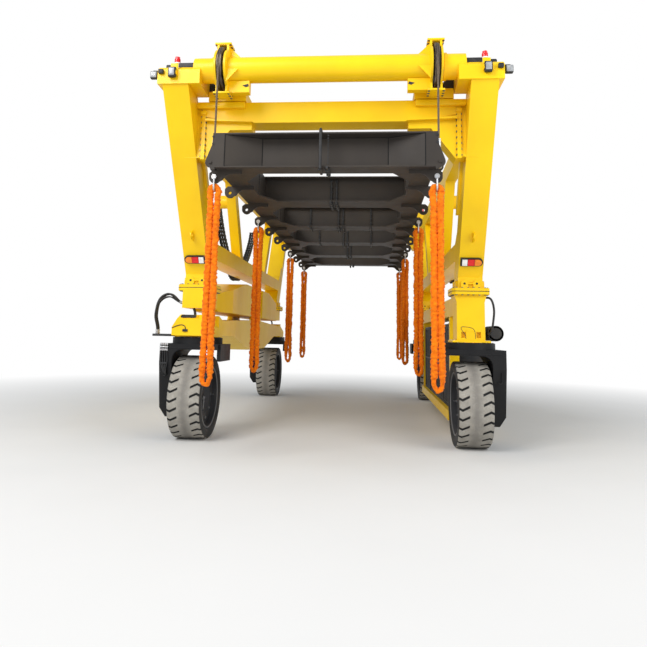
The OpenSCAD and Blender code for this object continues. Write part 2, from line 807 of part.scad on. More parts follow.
// Power pack between the right wheels, hung in its skid under the lower side beam
module power_pack() {
    color("#3f4347")
        block([pack_x + radiator_t, skid_rail - pack_half, skid_z + skid_rail],
              [pack_x + pack_w, pack_half - skid_rail, pack_top - 130]);
}

module radiator() {
    x0 = pack_x;
    x1 = pack_x + radiator_t;
    y0 = skid_rail - pack_half;
    y1 = pack_half - skid_rail;
    z0 = skid_z + skid_rail;
    z1 = pack_top - 90;
    pitch = (y1 - y0) / fins;
    color("#2f3234") difference() {
        block([x0, y0, z0], [x1, y1, z1]);
        for (i = [0 : fins - 1]) {
            block([x0 - 1, y0 + pitch * (i + 0.25), z0 + 60], [x0 + 20, y0 + pitch * (i + 0.75), z1 - 60]);
        }
    }
}

// Skid: two long rails, cross members and the posts up to the lower side beam
module skid() {
    rail = skid_rail;
    post = 80;
    x0 = pack_x - 90;
    x1 = pack_x + pack_w;
    top = foot_z - 310;
    color("gold") {
        block([x0, -pack_half, skid_z], [x0 + rail, pack_half, skid_z + rail]);
        block([x1 - rail, -pack_half, skid_z], [x1, pack_half, skid_z + rail]);
        for (y = [-pack_half, -post / 2, pack_half - post]) {
            block([x0, y, skid_z], [x1, y + post, skid_z + rail]);
        }
        both_ends() block([leg_x0, pack_half - post, skid_z + rail - eps],
                          [leg_x0 + rail, pack_half, top]);
    }
}

// Engine parts outside and above the housing: air filters, silencer and tank
module engine_gear() {
    x1 = pack_x + pack_w;
    top = pack_top - 130;
    filter_d = pack_w * 0.45;
    filter_l = pack_half / 4;
    filter_y = pack_half / 40 - pack_half;
    clamp_w = filter_d / 4;
    tank_h = pack_w / 4;
    color("#25272a") {
        y_rod(x1 + clamp_w + filter_d / 2, filter_y, filter_y + filter_l, top - filter_d / 2, filter_d);
        block([x1, filter_y + filter_l / 4, top - filter_d * 0.8],
              [x1 + clamp_w + filter_d / 2, filter_y + filter_l * 3 / 4, top - filter_d * 0.2]);
        block([x1 - pack_w / 2, -pack_half * 2 / 3, top], [x1 - 20, -pack_half / 6, top + tank_h]);
        y_rod(x1 - pack_w / 6, pack_half / 12, pack_half / 2, top + tank_h / 2, tank_h);
    }
}

// Distance along a route to each of its points, and the point and normal at a distance
function route_s(r) = [for (i = 0, s = 0; i < len(r);
    s = s + (i + 1 < len(r) ? norm(r[i + 1] - r[i]) : 0), i = i + 1) s];
function route_point(r, at, s) = [for (k = [0, 1]) lookup(s, [for (i = [0 : len(r) - 1]) [at[i], r[i][k]]])];
function route_normal(r, at, s) =
    let (d = unit(route_point(r, at, s + 40) - route_point(r, at, s - 40))) [-d[1], d[0]];

// Outline of a cable chain on a route of Y and Z points, with a notch between its links
function chain_outline(route) =
    let (at = route_s(route), total = at[len(at) - 1], count = round(total / chain_pitch),
         link = total / count, full = chain_h / 2, neck = chain_h / 2 - 12,
         rows = [for (k = [0 : count - 1]) each
             [[k + 0.08, neck], [k + 0.08, full], [k + 0.92, full], [k + 0.92, neck]]])
    concat([for (row = rows) route_point(route, at, row[0] * link)
                + route_normal(route, at, row[0] * link) * row[1]],
           [for (i = [len(rows) - 1 : -1 : 0]) route_point(route, at, rows[i][0] * link)
                - route_normal(route, at, rows[i][0] * link) * rows[i][1]]);

chain_h = 90;
chain_w = 70;
chain_pitch = 110;
chain_low = sill_z + 20;
chain_arm = [[drum_y - 70, drum_z], [drum_y - 200, drum_z - 230], [drum_y - 520, drum_z - 580],
             [drum_y - 870, drum_z - 850], [drum_y - 1150, chain_low + 300],
             [drum_y - 1370, chain_low + 110], [drum_y - 1650, chain_low]];

// Cable chains that sag along the outer side from one inner column's drum to the other's
module cable_chains() {
    last = len(chain_arm) - 1;
    route = concat([for (p = chain_arm) [-p[0], p[1]]], [for (i = [last : -1 : 0]) chain_arm[i]]);
    color("#1d1e20") both_sides()
        side_plate(leg_x1 + run_gap, leg_x1 + run_gap + chain_w, chain_outline(route));
}

module tail_lamps() {
    lamp_w = 340;
    lamp_h = 130;
    lamp_t = 60;
    z0 = leg_z + 350;
    color("firebrick") both_sides() both_ends()
        translate([wheel_x - lamp_w / 2, leg_out(z0), z0]) rotate([-lean, 0, 0])
            translate([0, run_gap, 0]) {
                cube([lamp_w - lamp_h / 2, lamp_t, lamp_h]);
                y_rod(lamp_w - lamp_h / 2, 0, lamp_t, lamp_h / 2, lamp_h);
            }
}

// Beacons and floodlights on the head boxes
module work_lights() {
    color("#b8bcc0") both_sides() both_ends() {
        translate([wheel_x, leg_out(leg_top) - 120, tube_z]) cylinder(h = 60, d = 60);
        translate([wheel_x, leg_out(leg_top) - 120, tube_z + 60]) cylinder(h = 90, d = 90);
        block([wheel_x - 30, leg_out(leg_top) + 25, leg_top + 130],
              [wheel_x + 90, leg_out(leg_top) + 95, leg_top + 200]);
    }
}

// Side rail of the lifting frame with the corner plates of its openings
module frame_rails() {
    inner_x = frame_x - rail_w;
    end_in = frame_half - end_depth;
    chamfer_x = 240;
    chamfer_y = 420;
    edges = [[-end_in, -inner_y2 - inner_w / 2], [-inner_y2 + inner_w / 2, -inner_y1 - inner_w / 2],
             [-inner_y1 + inner_w / 2, inner_y1 - inner_w / 2],
             [inner_y1 + inner_w / 2, inner_y2 - inner_w / 2], [inner_y2 + inner_w / 2, end_in]];
    color("#3a3836") both_sides() {
        block([inner_x, -end_in, frame_z], [frame_x, end_in, frame_z + rail_h]);
        for (e = edges) {
            for (corner = [[e[0], 1], [e[1], -1]]) {
                translate([0, 0, frame_z]) linear_extrude(deck_t)
                    polygon([[inner_x + eps, corner[0]], [inner_x - chamfer_x, corner[0]],
                             [inner_x + eps, corner[0] + corner[1] * chamfer_y]]);
            }
        }
    }
}

// End beam: deck plates over the whole depth and a front web that steps back in the middle
module frame_end_beams() {
    y0 = frame_half - end_depth;
    web_x = frame_x - 610;
    flush_x = frame_x - 130;
    web_y = frame_half - 190;
    ear_t = 25;
    ear_y = rope_y - 60;
    color("#3a3836") both_ends() {
        block([-frame_x, y0, frame_z], [frame_x, frame_half, frame_z + deck_t]);
        block([-frame_x, y0, frame_top - deck_t], [frame_x, frame_half, frame_top]);
        translate([0, 0, frame_z + deck_t - eps]) linear_extrude(end_h - 2 * deck_t + 2 * eps) polygon(
            [[-frame_x, y0], [frame_x, y0], [frame_x, frame_half], [flush_x, frame_half],
             [web_x, web_y], [-web_x, web_y], [-flush_x, frame_half], [-frame_x, frame_half]]);
        both_sides() {
            end_ear(frame_half - ear_t, frame_half);
            end_ear(ear_y - ear_t, ear_y);
            y_rod(sheave_x, ear_y - ear_t - 20, frame_half + 20, ear_z, ear_pin_d);
        }
    }
}

// Ear plate that holds the rope socket's pin, outside the end of the end beam
module end_ear(y0, y1) {
    difference() {
        union() {
            front_plate(y0, y1,
                [[frame_x - eps, frame_z - 30], [frame_x + 30, frame_z - 30], [sheave_x + 60, ear_z - 30],
                 [sheave_x + 66, ear_z + 30], [sheave_x - 20, frame_top - 150],
                 [sheave_x - 25, frame_top], [frame_x - eps, frame_top]]);
            y_rod(sheave_x, y0, y1, ear_z, 140);
        }
        block([frame_x - rail_w, y0 - 1, frame_z - 100], [frame_x - eps, y1 + 1, frame_top]);
    }
}

// Inner beams of the lifting frame: two flanges and a box web
module frame_inner_beams() {
    inner_x = frame_x - rail_w;
    web = inner_w / 2;
    color("#3a3836") for (y = [-inner_y2, -inner_y1, inner_y1, inner_y2]) {
        block([-inner_x, y - inner_w / 2, frame_z], [inner_x, y + inner_w / 2, frame_z + deck_t]);
        block([-inner_x, y - inner_w / 2, frame_z + rail_h - deck_t],
              [inner_x, y + inner_w / 2, frame_z + rail_h]);
        block([-inner_x, y - web / 2, frame_z + deck_t - eps],
              [inner_x, y + web / 2, frame_z + rail_h - deck_t + eps]);
    }
}

// Lifting lug under a side rail: an arm that curves out to a rounded eye
module lug(y) {
    eye_r = 78;
    arm_x = frame_x - 340;
    arc_steps = 6;
    arc_r = 160;
    difference() {
        union() {
            front_plate(y - lug_t / 2, y + lug_t / 2,
                concat(
                    [[arm_x, frame_z], [arm_x, frame_z - 50]],
                    [for (i = [0 : arc_steps])
                        [lug_x - eye_r - arc_r + arc_r * sin(60 * i / arc_steps),
                         frame_z - 50 - arc_r + arc_r * cos(60 * i / arc_steps)]],
                    [[lug_x, lug_z - eye_r], [lug_x + eye_r, lug_z], [lug_x + eye_r, frame_z - 40],
                     [lug_x + 30, frame_z]]));
            y_rod(lug_x, y - lug_t / 2, y + lug_t / 2, lug_z, 2 * eye_r);
        }
        y_rod(lug_x, y - lug_t, y + lug_t, lug_z, lug_hole_d);
    }
}

module frame_lugs() {
    color("#33312f") both_sides() {
        for (y = lug_ys) lug(y);
        for (y = lug_ys) if (y > 0) lug(-y);
    }
}

// Pipes that run up over each beam in clamps
module frame_pipes() {
    pipe_d = 40;
    x = -40;
    color("#1d1d1d") {
        both_ends() {
            y_rod(x, frame_half - end_depth - 120, frame_half + 50, frame_top + pipe_d / 2, pipe_d);
            translate([x, frame_half + 50, frame_z - 40]) cylinder(h = end_h + 40 + pipe_d / 2, d = pipe_d);
            y_rod(x, frame_half - 190, frame_half + 50, frame_z - 40, pipe_d);
        }
    }
}

// Socket on the rope's end, with the eye that the ear's pin goes through
module rope_sockets() {
    eye_t = 50;
    neck_w = 40;
    color("silver") both_sides() both_ends() {
        difference() {
            union() {
                translate([sheave_x, rope_y, socket_z]) cylinder(h = socket_h, d = socket_d);
                block([sheave_x - neck_w / 2, rope_y - eye_t / 2, ear_z],
                      [sheave_x + neck_w / 2, rope_y + eye_t / 2, socket_z + eps]);
                y_rod(sheave_x, rope_y - eye_t / 2, rope_y + eye_t / 2, ear_z, ear_pin_d * 2.5);
            }
            y_rod(sheave_x, rope_y - eye_t, rope_y + eye_t, ear_z, ear_pin_d);
        }
    }
}

sling_d = 88;
bow_rod = 24;
bow_spread = sling_d / 2 + bow_rod / 2 + 2;
bow_drop = 130;

// Bow shackle on a lug: a pin through the hole and a bow that the sling hangs in
module shackle(y) {
    rod = bow_rod;
    spread = bow_spread;
    low_z = lug_z - bow_drop;
    y_rod(lug_x, y - spread - 24, y + spread + 24, lug_z, lug_hole_d - 2 * run_gap);
    for (s = [-1, 1]) {
        y_rod(lug_x, y + s * spread - 16, y + s * spread + 16, lug_z, 70);
        translate([lug_x, y + s * spread, low_z]) cylinder(h = lug_z - low_z, d = rod);
    }
    translate([lug_x, y, low_z]) rotate([0, 90, 0]) rotate([0, 0, -90])
        rotate_extrude(angle = 180) translate([spread, 0]) circle(d = rod);
}

module sling_shackles() {
    color("silver") both_sides() both_ends() for (y = sling_ys) shackle(y);
}

// Route of a sling's strand, as X and Z offsets: over the bow, down, round and up again
sling_route = [[-1, 58], [-41, 41], [-58, 0], [-46, -2525], [0, -2585],
               [46, -2525], [58, 0], [41, 41], [1, 58]];

// Tube of round section swept along points by rings that face along the route
function unit(v) = v / norm(v);
function tangent(p, i) = unit(p[min(i + 1, len(p) - 1)] - p[max(i - 1, 0)]);

module swept_tube(points, d, sides, reference) {
    n = len(points);
    rings = [for (i = [0 : n - 1])
        let (t = tangent(points, i), u = unit(cross(t, reference)), v = cross(t, u))
        for (k = [0 : sides - 1])
            points[i] + (u * cos(360 * k / sides) + v * sin(360 * k / sides)) * d / 2];
    walls = [for (i = [0 : n - 2]) for (k = [0 : sides - 1])
        let (a = i * sides + k, b = i * sides + (k + 1) % sides)
        each [[a, b, b + sides], [a, b + sides, a + sides]]];
    polyhedron(rings,
        concat(walls, [[for (k = [sides - 1 : -1 : 0]) k]],
               [[for (k = [0 : sides - 1]) (n - 1) * sides + k]]));
}

module slings() {
    bow_z = lug_z - bow_drop - bow_spread;
    color("#ff6a1a") for (side = [-1, 1]) for (end = [-1, 1]) for (y = sling_ys)
        swept_tube([for (p = sling_route) [side * lug_x + p[0], end * y, bow_z + p[1]]],
                   sling_d, 8, [0, 1, 0]);
}

// Hoses from the equaliser's front end box down to the rocker beam
hose_d = 34;
hose_step = 60;
hose_rest = 40;
hose_end = [-2770, -3760, 1640.3];
hose_route = [[-2390.3, -3660, 2150], [-2450, -3660, 2150], [-2620, -3700, 2280], [-2760, -3740, 2200],
              [-2810, -3760, 1950], [-2770, -3760, 1740], hose_end];

module steering_hoses() {
    color("#151515") for (i = [0, 1])
        swept_tube([for (p = hose_route) p - [0, i * hose_step, 0]], hose_d, 8, [0, 1, 0]);
}

at_corner(left, front) leg();  // left_front_leg
at_corner(left, back) leg();  // left_back_leg
at_corner(right, front) leg();  // right_front_leg
at_corner(right, back) leg();  // right_back_leg
sill_beams();
side_columns();
top_side_beams();
cross_tubes();
cross_beams();
head_boxes();
sheave_brackets();
at_corner(left, front) sheave();  // left_front_sheave
at_corner(left, back) sheave();  // left_back_sheave
at_corner(right, front) sheave();  // right_front_sheave
at_corner(right, back) sheave();  // right_back_sheave
hoist_ropes();
rope_winches();
equaliser_beam();
rocker_beam();
rocker_pin();
right_lower_frame();
power_pack();
radiator();
skid();
engine_gear();
cable_chains();
tail_lamps();
work_lights();
at_corner(left, front) fork();  // left_front_fork
at_corner(left, back) fork();  // left_back_fork
at_corner(right, front) fork();  // right_front_fork
at_corner(right, back) fork();  // right_back_fork
at_wheel(left, front) tyre();  // left_front_tyre
at_wheel(left, back) tyre();  // left_back_tyre
at_wheel(right, front) tyre();  // right_front_tyre
at_wheel(right, back) tyre();  // right_back_tyre
at_corner(left, front) rim();  // left_front_rim
at_corner(left, back) rim();  // left_back_rim
at_corner(right, front) rim();  // right_front_rim
at_corner(right, back) rim();  // right_back_rim
frame_rails();
frame_end_beams();
frame_inner_beams();
frame_lugs();
frame_pipes();
rope_sockets();
sling_shackles();
slings();
steering_hoses();
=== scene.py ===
"""Rubber tyred gantry crane: finishes, cords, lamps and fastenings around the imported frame."""

import json
import logging
import math
from dataclasses import dataclass, field
from enum import Enum
from typing import Callable, Sequence

import bmesh
import bpy
from mathutils import Matrix, Vector, noise


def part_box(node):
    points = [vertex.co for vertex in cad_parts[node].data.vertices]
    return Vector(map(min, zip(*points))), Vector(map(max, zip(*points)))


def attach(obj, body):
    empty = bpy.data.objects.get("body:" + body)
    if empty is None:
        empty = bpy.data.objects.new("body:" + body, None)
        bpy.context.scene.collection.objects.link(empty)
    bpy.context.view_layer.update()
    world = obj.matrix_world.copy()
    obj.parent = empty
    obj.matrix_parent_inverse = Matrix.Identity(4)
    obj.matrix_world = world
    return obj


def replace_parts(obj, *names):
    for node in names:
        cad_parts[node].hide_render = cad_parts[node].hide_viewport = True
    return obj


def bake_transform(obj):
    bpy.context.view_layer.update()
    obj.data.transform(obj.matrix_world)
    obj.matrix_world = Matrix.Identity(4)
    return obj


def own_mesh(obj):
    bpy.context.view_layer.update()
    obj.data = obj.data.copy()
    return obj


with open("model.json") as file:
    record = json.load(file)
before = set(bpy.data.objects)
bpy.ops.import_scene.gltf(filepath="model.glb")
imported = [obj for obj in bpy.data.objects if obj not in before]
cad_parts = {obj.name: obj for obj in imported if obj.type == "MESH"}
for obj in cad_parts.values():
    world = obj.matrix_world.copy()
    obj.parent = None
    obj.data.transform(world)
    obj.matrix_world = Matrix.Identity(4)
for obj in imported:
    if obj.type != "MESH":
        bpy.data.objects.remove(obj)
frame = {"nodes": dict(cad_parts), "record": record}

LOG = logging.getLogger("crane")
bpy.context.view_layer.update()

Point = Sequence[float]
Colour = tuple[float, float, float]

WHEEL_X = 2.19
WHEEL_Y = 3.5
TYRE_R = 0.65
TYRE_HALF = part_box("left_front_tyre")[1][0] + 2.19
FOOT_Z = 2.34
LEG_Z = 2.44
LEG_TOP = 5.2
BEND_Z = 2.611
LEAN = 0.5914
TUBE_Y = 5.08113
TUBE_Z = 5.47
SHEAVE_X = 1.53
SHEAVE_R = 0.32
JOINT_X = 1.9
LUG_X = 1.5
LUG_Z = 3.77


class Side(Enum):
    """The two sides of the crane."""

    LEFT = -1
    RIGHT = 1


class End(Enum):
    """The two ends of the crane."""

    FRONT = -1
    BACK = 1


CORNERS = [(side, end) for side in Side for end in End]


def corner_name(side: Side, end: End) -> str:
    """Returns the words that begin the names of a corner's nodes."""
    return f"{side.name.lower()}_{end.name.lower()}"


@dataclass
class Shader:
    """A material's node tree around one principled shader.

    Args:
        name: The material's name.
    """

    name: str
    material: bpy.types.Material = field(init=False)
    bsdf: bpy.types.Node = field(init=False)

    def __post_init__(self) -> None:
        """Makes the material with its shader and its coordinates."""
        self.material = bpy.data.materials.new(self.name)
        self.material.use_nodes = True
        self.bsdf = self.material.node_tree.nodes["Principled BSDF"]
        self.coords = self.add("ShaderNodeTexCoord")

    def add(self, kind: str, **values: object) -> bpy.types.Node:
        """Adds a node.

        Args:
            kind: The node's type.
            values: Values of its input sockets, or of its own settings.

        Returns:
            The new node.
        """
        node = self.material.node_tree.nodes.new(kind)
        for key, value in values.items():
            socket = node.inputs.get(key.replace("_", " "))
            if socket is not None:
                socket.default_value = value
            else:
                setattr(node, key, value)
        return node

    def link(self, source: bpy.types.NodeSocket, target: bpy.types.NodeSocket) -> None:
        """Links two sockets."""
        self.material.node_tree.links.new(source, target)

    def noise(self, scale: float, detail: float = 4.0, stretch: Point = (1, 1, 1)) -> bpy.types.NodeSocket:
        """Makes noise on the object's coordinates.

        Args:
            scale: The pattern's scale, in cells a metre.
            detail: Octaves of the noise.
            stretch: Scale along each axis.

        Returns:
            The noise's value socket.
        """
        mapping = self.add("ShaderNodeMapping")
        mapping.inputs["Scale"].default_value = stretch
        self.link(self.coords.outputs["Object"], mapping.inputs["Vector"])
        texture = self.add("ShaderNodeTexNoise", Scale=scale, Detail=detail)
        self.link(mapping.outputs["Vector"], texture.inputs["Vector"])
        return texture.outputs["Fac"]

    def ramp(self, value: bpy.types.NodeSocket, low: float, high: float) -> bpy.types.NodeSocket:
        """Maps a value from low to high onto 0 to 1, clamped.

        Args:
            value: The value's socket.
            low: The value that becomes 0.
            high: The value that becomes 1.

        Returns:
            The mapped value's socket.
        """
        node = self.add("ShaderNodeMapRange")
        node.inputs["From Min"].default_value = low
        node.inputs["From Max"].default_value = high
        self.link(value, node.inputs["Value"])
        return node.outputs["Result"]

    def math(self, operation: str, a: object, b: object) -> bpy.types.NodeSocket:
        """Adds a math node.

        Args:
            operation: The operation's name.
            a: A socket or a number.
            b: A socket or a number.

        Returns:
            The result's socket.
        """
        node = self.add("ShaderNodeMath")
        node.operation = operation
        for socket, value in zip(node.inputs, (a, b)):
            if isinstance(value, bpy.types.NodeSocket):
                self.link(value, socket)
            else:
                socket.default_value = value
        return node.outputs[0]

    def mix(self, factor: bpy.types.NodeSocket, first: object, second: object) -> bpy.types.NodeSocket:
        """Mixes two colours.

        Args:
            factor: The share of the second colour.
            first: A colour or a colour socket.
            second: A colour or a colour socket.

        Returns:
            The mixed colour's socket.
        """
        node = self.add("ShaderNodeMix")
        node.data_type = "RGBA"
        self.link(factor, node.inputs["Factor"])
        for key, value in ((6, first), (7, second)):
            if isinstance(value, bpy.types.NodeSocket):
                self.link(value, node.inputs[key])
            else:
                node.inputs[key].default_value = (*value, 1.0)
        return node.outputs[2]

    def axis(self, index: int) -> bpy.types.NodeSocket:
        """Returns one coordinate of the object's coordinates, 0 for X, 1 for Y and 2 for Z."""
        split = self.add("ShaderNodeSeparateXYZ")
        self.link(self.coords.outputs["Object"], split.inputs[0])
        return split.outputs[index]

    def colour(self, socket: bpy.types.NodeSocket) -> None:
        """Sets the surface's colour from a socket."""
        self.link(socket, self.bsdf.inputs["Base Color"])

    def roughness(self, socket: bpy.types.NodeSocket) -> None:
        """Sets the surface's roughness from a socket."""
        self.link(socket, self.bsdf.inputs["Roughness"])

    def bump(self, height: bpy.types.NodeSocket, strength: float, distance: float) -> None:
        """Adds relief.

        Args:
            height: The height's socket, 0 to 1.
            strength: The share of the relief that shows.
            distance: The relief's depth in metres.
        """
        node = self.add("ShaderNodeBump", Strength=strength, Distance=distance)
        self.link(height, node.inputs["Height"])
        self.link(node.outputs["Normal"], self.bsdf.inputs["Normal"])


@dataclass(frozen=True)
class Paint:
    """Machine paint with faint mottling, dust that settles low down and a slight orange peel.

    Args:
        name: The material's name.
        base: The paint's colour.
        shade: The colour of its duller patches.
        dust: The colour of the dust on it.
        dust_amount: How much dust shows, 0 to 1.
        rough: Its roughness.
        coat: The weight of its clear coat.
    """

    name: str
    base: Colour
    shade: Colour
    dust: Colour
    dust_amount: float
    rough: float
    coat: float

    def build(self) -> bpy.types.Material:
        """Returns the finished material."""
        shader = Shader(self.name)
        patches = shader.ramp(shader.noise(1.3, 5.0), 0.35, 0.75)
        painted = shader.mix(patches, self.base, self.shade)
        streaks = shader.ramp(shader.noise(3.0, 6.0, (1, 1, 0.18)), 0.42, 0.8)
        low = shader.ramp(shader.axis(2), 2.6, 0.3)
        grime = shader.math("MULTIPLY", streaks, shader.math("ADD", shader.math("MULTIPLY", low, 0.7), 0.3))
        amount = shader.math("MULTIPLY", grime, self.dust_amount)
        shader.colour(shader.mix(amount, painted, self.dust))
        gloss = shader.math("MULTIPLY", shader.noise(6.0, 3.0), 0.16)
        shader.roughness(shader.math("ADD", gloss, shader.math("ADD", shader.math("MULTIPLY", amount, 0.4), self.rough)))
        shader.bump(shader.noise(90.0, 2.0), 0.12, 0.001)
        shader.bsdf.inputs["Specular IOR Level"].default_value = 0.25
        shader.bsdf.inputs["Coat Weight"].default_value = self.coat
        shader.bsdf.inputs["Coat Roughness"].default_value = 0.15
        return shader.material


@dataclass(frozen=True)
class Metal:
    """Bare or coated metal with fine scratches.

    Args:
        name: The material's name.
        base: The metal's colour.
        stain: The colour of its stains.
        rough: Its roughness.
        scale: The scale of its stains, in cells a metre.
    """

    name: str
    base: Colour
    stain: Colour
    rough: float
    scale: float

    def build(self) -> bpy.types.Material:
        """Returns the finished material."""
        shader = Shader(self.name)
        stains = shader.ramp(shader.noise(self.scale, 6.0), 0.4, 0.75)
        shader.colour(shader.mix(stains, self.base, self.stain))
        shader.roughness(shader.math("ADD", shader.math("MULTIPLY", stains, 0.25), self.rough))
        shader.bump(shader.noise(self.scale * 9, 3.0), 0.2, 0.0008)
        shader.bsdf.inputs["Metallic"].default_value = 0.85
        return shader.material


@dataclass(frozen=True)
class Plastic:
    """Rubber, plastic or glass-like lens of one colour with a slight grain.

    Args:
        name: The material's name.
        base: Its colour.
        worn: The colour of its worn or dusty patches.
        rough: Its roughness.
    """

    name: str
    base: Colour
    worn: Colour
    rough: float

    def build(self) -> bpy.types.Material:
        """Returns the finished material."""
        shader = Shader(self.name)
        wear = shader.ramp(shader.noise(14.0, 5.0), 0.45, 0.85)
        shader.colour(shader.mix(wear, self.base, self.worn))
        shader.roughness(shader.math("ADD", shader.math("MULTIPLY", wear, 0.2), self.rough))
        shader.bump(shader.noise(240.0, 2.0), 0.25, 0.0006)
        return shader.material


@dataclass(frozen=True)
class TyreRubber:
    """Tyre rubber: dusty grey where the tread meets the road, black on its walls, near-black in its grooves and in a
    band beside them, as bare rubber with painted shade of the deep grooves.

    Args:
        name: The material's name.
        centre: The wheel's centre.
        half: Half the tyre's width.
        pairs: The number of groove pairs on a shoulder.
        dip: The distance of a groove's dip from the tyre's edge.
        reach: The distance that a groove runs in from the tyre's edge.
    """

    name: str
    centre: tuple[float, float, float]
    half: float = TYRE_HALF
    pairs: int = 14
    dip: float = 0.056
    reach: float = 0.157

    def build(self) -> bpy.types.Material:
        """Returns the finished material."""
        shader = Shader(self.name)
        mapping = shader.add("ShaderNodeMapping")
        mapping.inputs["Location"].default_value = [-c for c in self.centre]
        shader.link(shader.coords.outputs["Object"], mapping.inputs["Vector"])
        split = shader.add("ShaderNodeSeparateXYZ")
        shader.link(mapping.outputs["Vector"], split.inputs[0])
        across, y, z = split.outputs
        radius = shader.math("SQRT", shader.math("ADD", shader.math("MULTIPLY", y, y), shader.math("MULTIPLY", z, z)), 0)
        dusty = shader.mix(shader.ramp(shader.noise(9.0, 7.0), 0.3, 0.7), (0.25, 0.232, 0.20), (0.41, 0.385, 0.335))
        scuffed = shader.mix(shader.ramp(shader.noise(42.0, 4.0), 0.45, 0.62), dusty, (0.31, 0.29, 0.255))
        middle = shader.ramp(shader.math("ABSOLUTE", across, 0), 0.10, 0.015)
        worn = shader.mix(shader.math("MULTIPLY", middle, 0.6), scuffed, (0.16, 0.148, 0.135))
        wall = shader.mix(shader.ramp(shader.noise(5.0, 5.0), 0.4, 0.8), (0.010, 0.010, 0.011), (0.035, 0.033, 0.031))
        crown = shader.ramp(radius, TYRE_R - 0.016, TYRE_R - 0.008)
        # Painted shade: the grooves, and a band beside each, are painted near-black to stand for the shade in the deep
        # grooves.
        groove_shaded = shader.mix(self.groove_shade_mask(shader, across, y, z), worn, (0.012, 0.012, 0.012))
        shader.colour(shader.mix(crown, wall, groove_shaded))
        shader.roughness(shader.math("ADD", shader.math("MULTIPLY", crown, 0.18), 0.68))
        shader.bump(shader.noise(70.0, 6.0), 0.35, 0.002)
        return shader.material


    def groove_shade_mask(self, shader: Shader, across: bpy.types.NodeSocket, y: bpy.types.NodeSocket,
                    z: bpy.types.NodeSocket) -> bpy.types.NodeSocket:
        """Marks the tread's grooves and a band of painted shade beside them.

        Args:
            shader: The material's shader.
            across: The distance from the wheel's middle plane, to the right.
            y: The place along the crane, from the axle.
            z: The height over the axle.

        Returns:
            A socket that is 1 in the grooves and 0 on the blocks between them.
        """
        step = math.pi / self.pairs
        inset = shader.math("SUBTRACT", self.half, shader.math("ABSOLUTE", across, 0))
        outer = shader.math("MULTIPLY", shader.math("SUBTRACT", self.dip, inset), 0.474)
        inner = shader.math("MULTIPLY", shader.math("SUBTRACT", inset, self.dip), 0.495)
        bend = shader.math("DIVIDE", shader.math("SUBTRACT", shader.math("MAXIMUM", outer, inner), 0.028), TYRE_R)
        right = shader.math("SIGN", across, 0)
        turn = shader.math("ARCTAN2", shader.math("MULTIPLY", y, -1.0), z)
        turn = shader.math("SUBTRACT", turn, shader.math("MULTIPLY", bend, right))
        turn = shader.math("SUBTRACT", turn, shader.math("MULTIPLY", right, step / 4))
        count = shader.math("ADD", shader.math("DIVIDE", turn, step), 0.25)
        spread = shader.math("SUBTRACT", shader.math("FRACT", count, 0), 0.5)
        away = shader.math("MULTIPLY", shader.math("ABSOLUTE", spread, 0), step * TYRE_R)
        # Painted shade band, wider than the cut groove.
        groove_shade_band = shader.ramp(away, 0.024, 0.015)
        return shader.math("MULTIPLY", groove_shade_band, shader.ramp(inset, self.reach + 0.012, self.reach))


@dataclass(frozen=True)
class SlingFabric:
    """Woven sleeve of a round sling, with darker patches of painted shade for its folds, and soiled in streaky patches.

    Args:
        name: The material's name.
    """

    name: str

    def build(self) -> bpy.types.Material:
        """Returns the finished material."""
        shader = Shader(self.name)
        # Painted shade: random darker patches stand for the shade in the sleeve's folds.
        folds = shader.ramp(shader.noise(26.0, 5.0), 0.3, 0.7)
        cloth = shader.mix(folds, (0.70, 0.125, 0.002), (0.95, 0.24, 0.003))
        soiled = shader.ramp(shader.noise(5.0, 5.0, (1, 1, 0.4)), 0.5, 0.85)
        shader.colour(shader.mix(shader.math("MULTIPLY", soiled, 0.35), cloth, (0.45, 0.09, 0.01)))
        weave = shader.add("ShaderNodeTexWave", Scale=240.0, Distortion=1.5)
        weave.bands_direction = "Z"
        shader.link(shader.coords.outputs["Object"], weave.inputs["Vector"])
        shader.bump(weave.outputs["Fac"], 0.35, 0.0012)
        shader.bsdf.inputs["Roughness"].default_value = 0.85
        shader.bsdf.inputs["Sheen Weight"].default_value = 0.08
        shader.bsdf.inputs["Specular IOR Level"].default_value = 0.15
        return shader.material


@dataclass(frozen=True)
class RopeSteel:
    """Greased wire rope whose strands run round it at an angle.

    Args:
        name: The material's name.
    """

    name: str

    def build(self) -> bpy.types.Material:
        """Returns the finished material."""
        shader = Shader(self.name)
        uv = shader.add("ShaderNodeUVMap")
        mapping = shader.add("ShaderNodeMapping")
        mapping.inputs["Scale"].default_value = (6.0, 12.0, 1.0)
        shader.link(uv.outputs["UV"], mapping.inputs["Vector"])
        wave = shader.add("ShaderNodeTexWave", Scale=1.0)
        wave.bands_direction = "DIAGONAL"
        shader.link(mapping.outputs["Vector"], wave.inputs["Vector"])
        shader.colour(shader.mix(wave.outputs["Fac"], (0.05, 0.035, 0.025), (0.22, 0.17, 0.12)))
        shader.bump(wave.outputs["Fac"], 0.8, 0.003)
        shader.bsdf.inputs["Metallic"].default_value = 0.6
        shader.bsdf.inputs["Roughness"].default_value = 0.5
        return shader.material


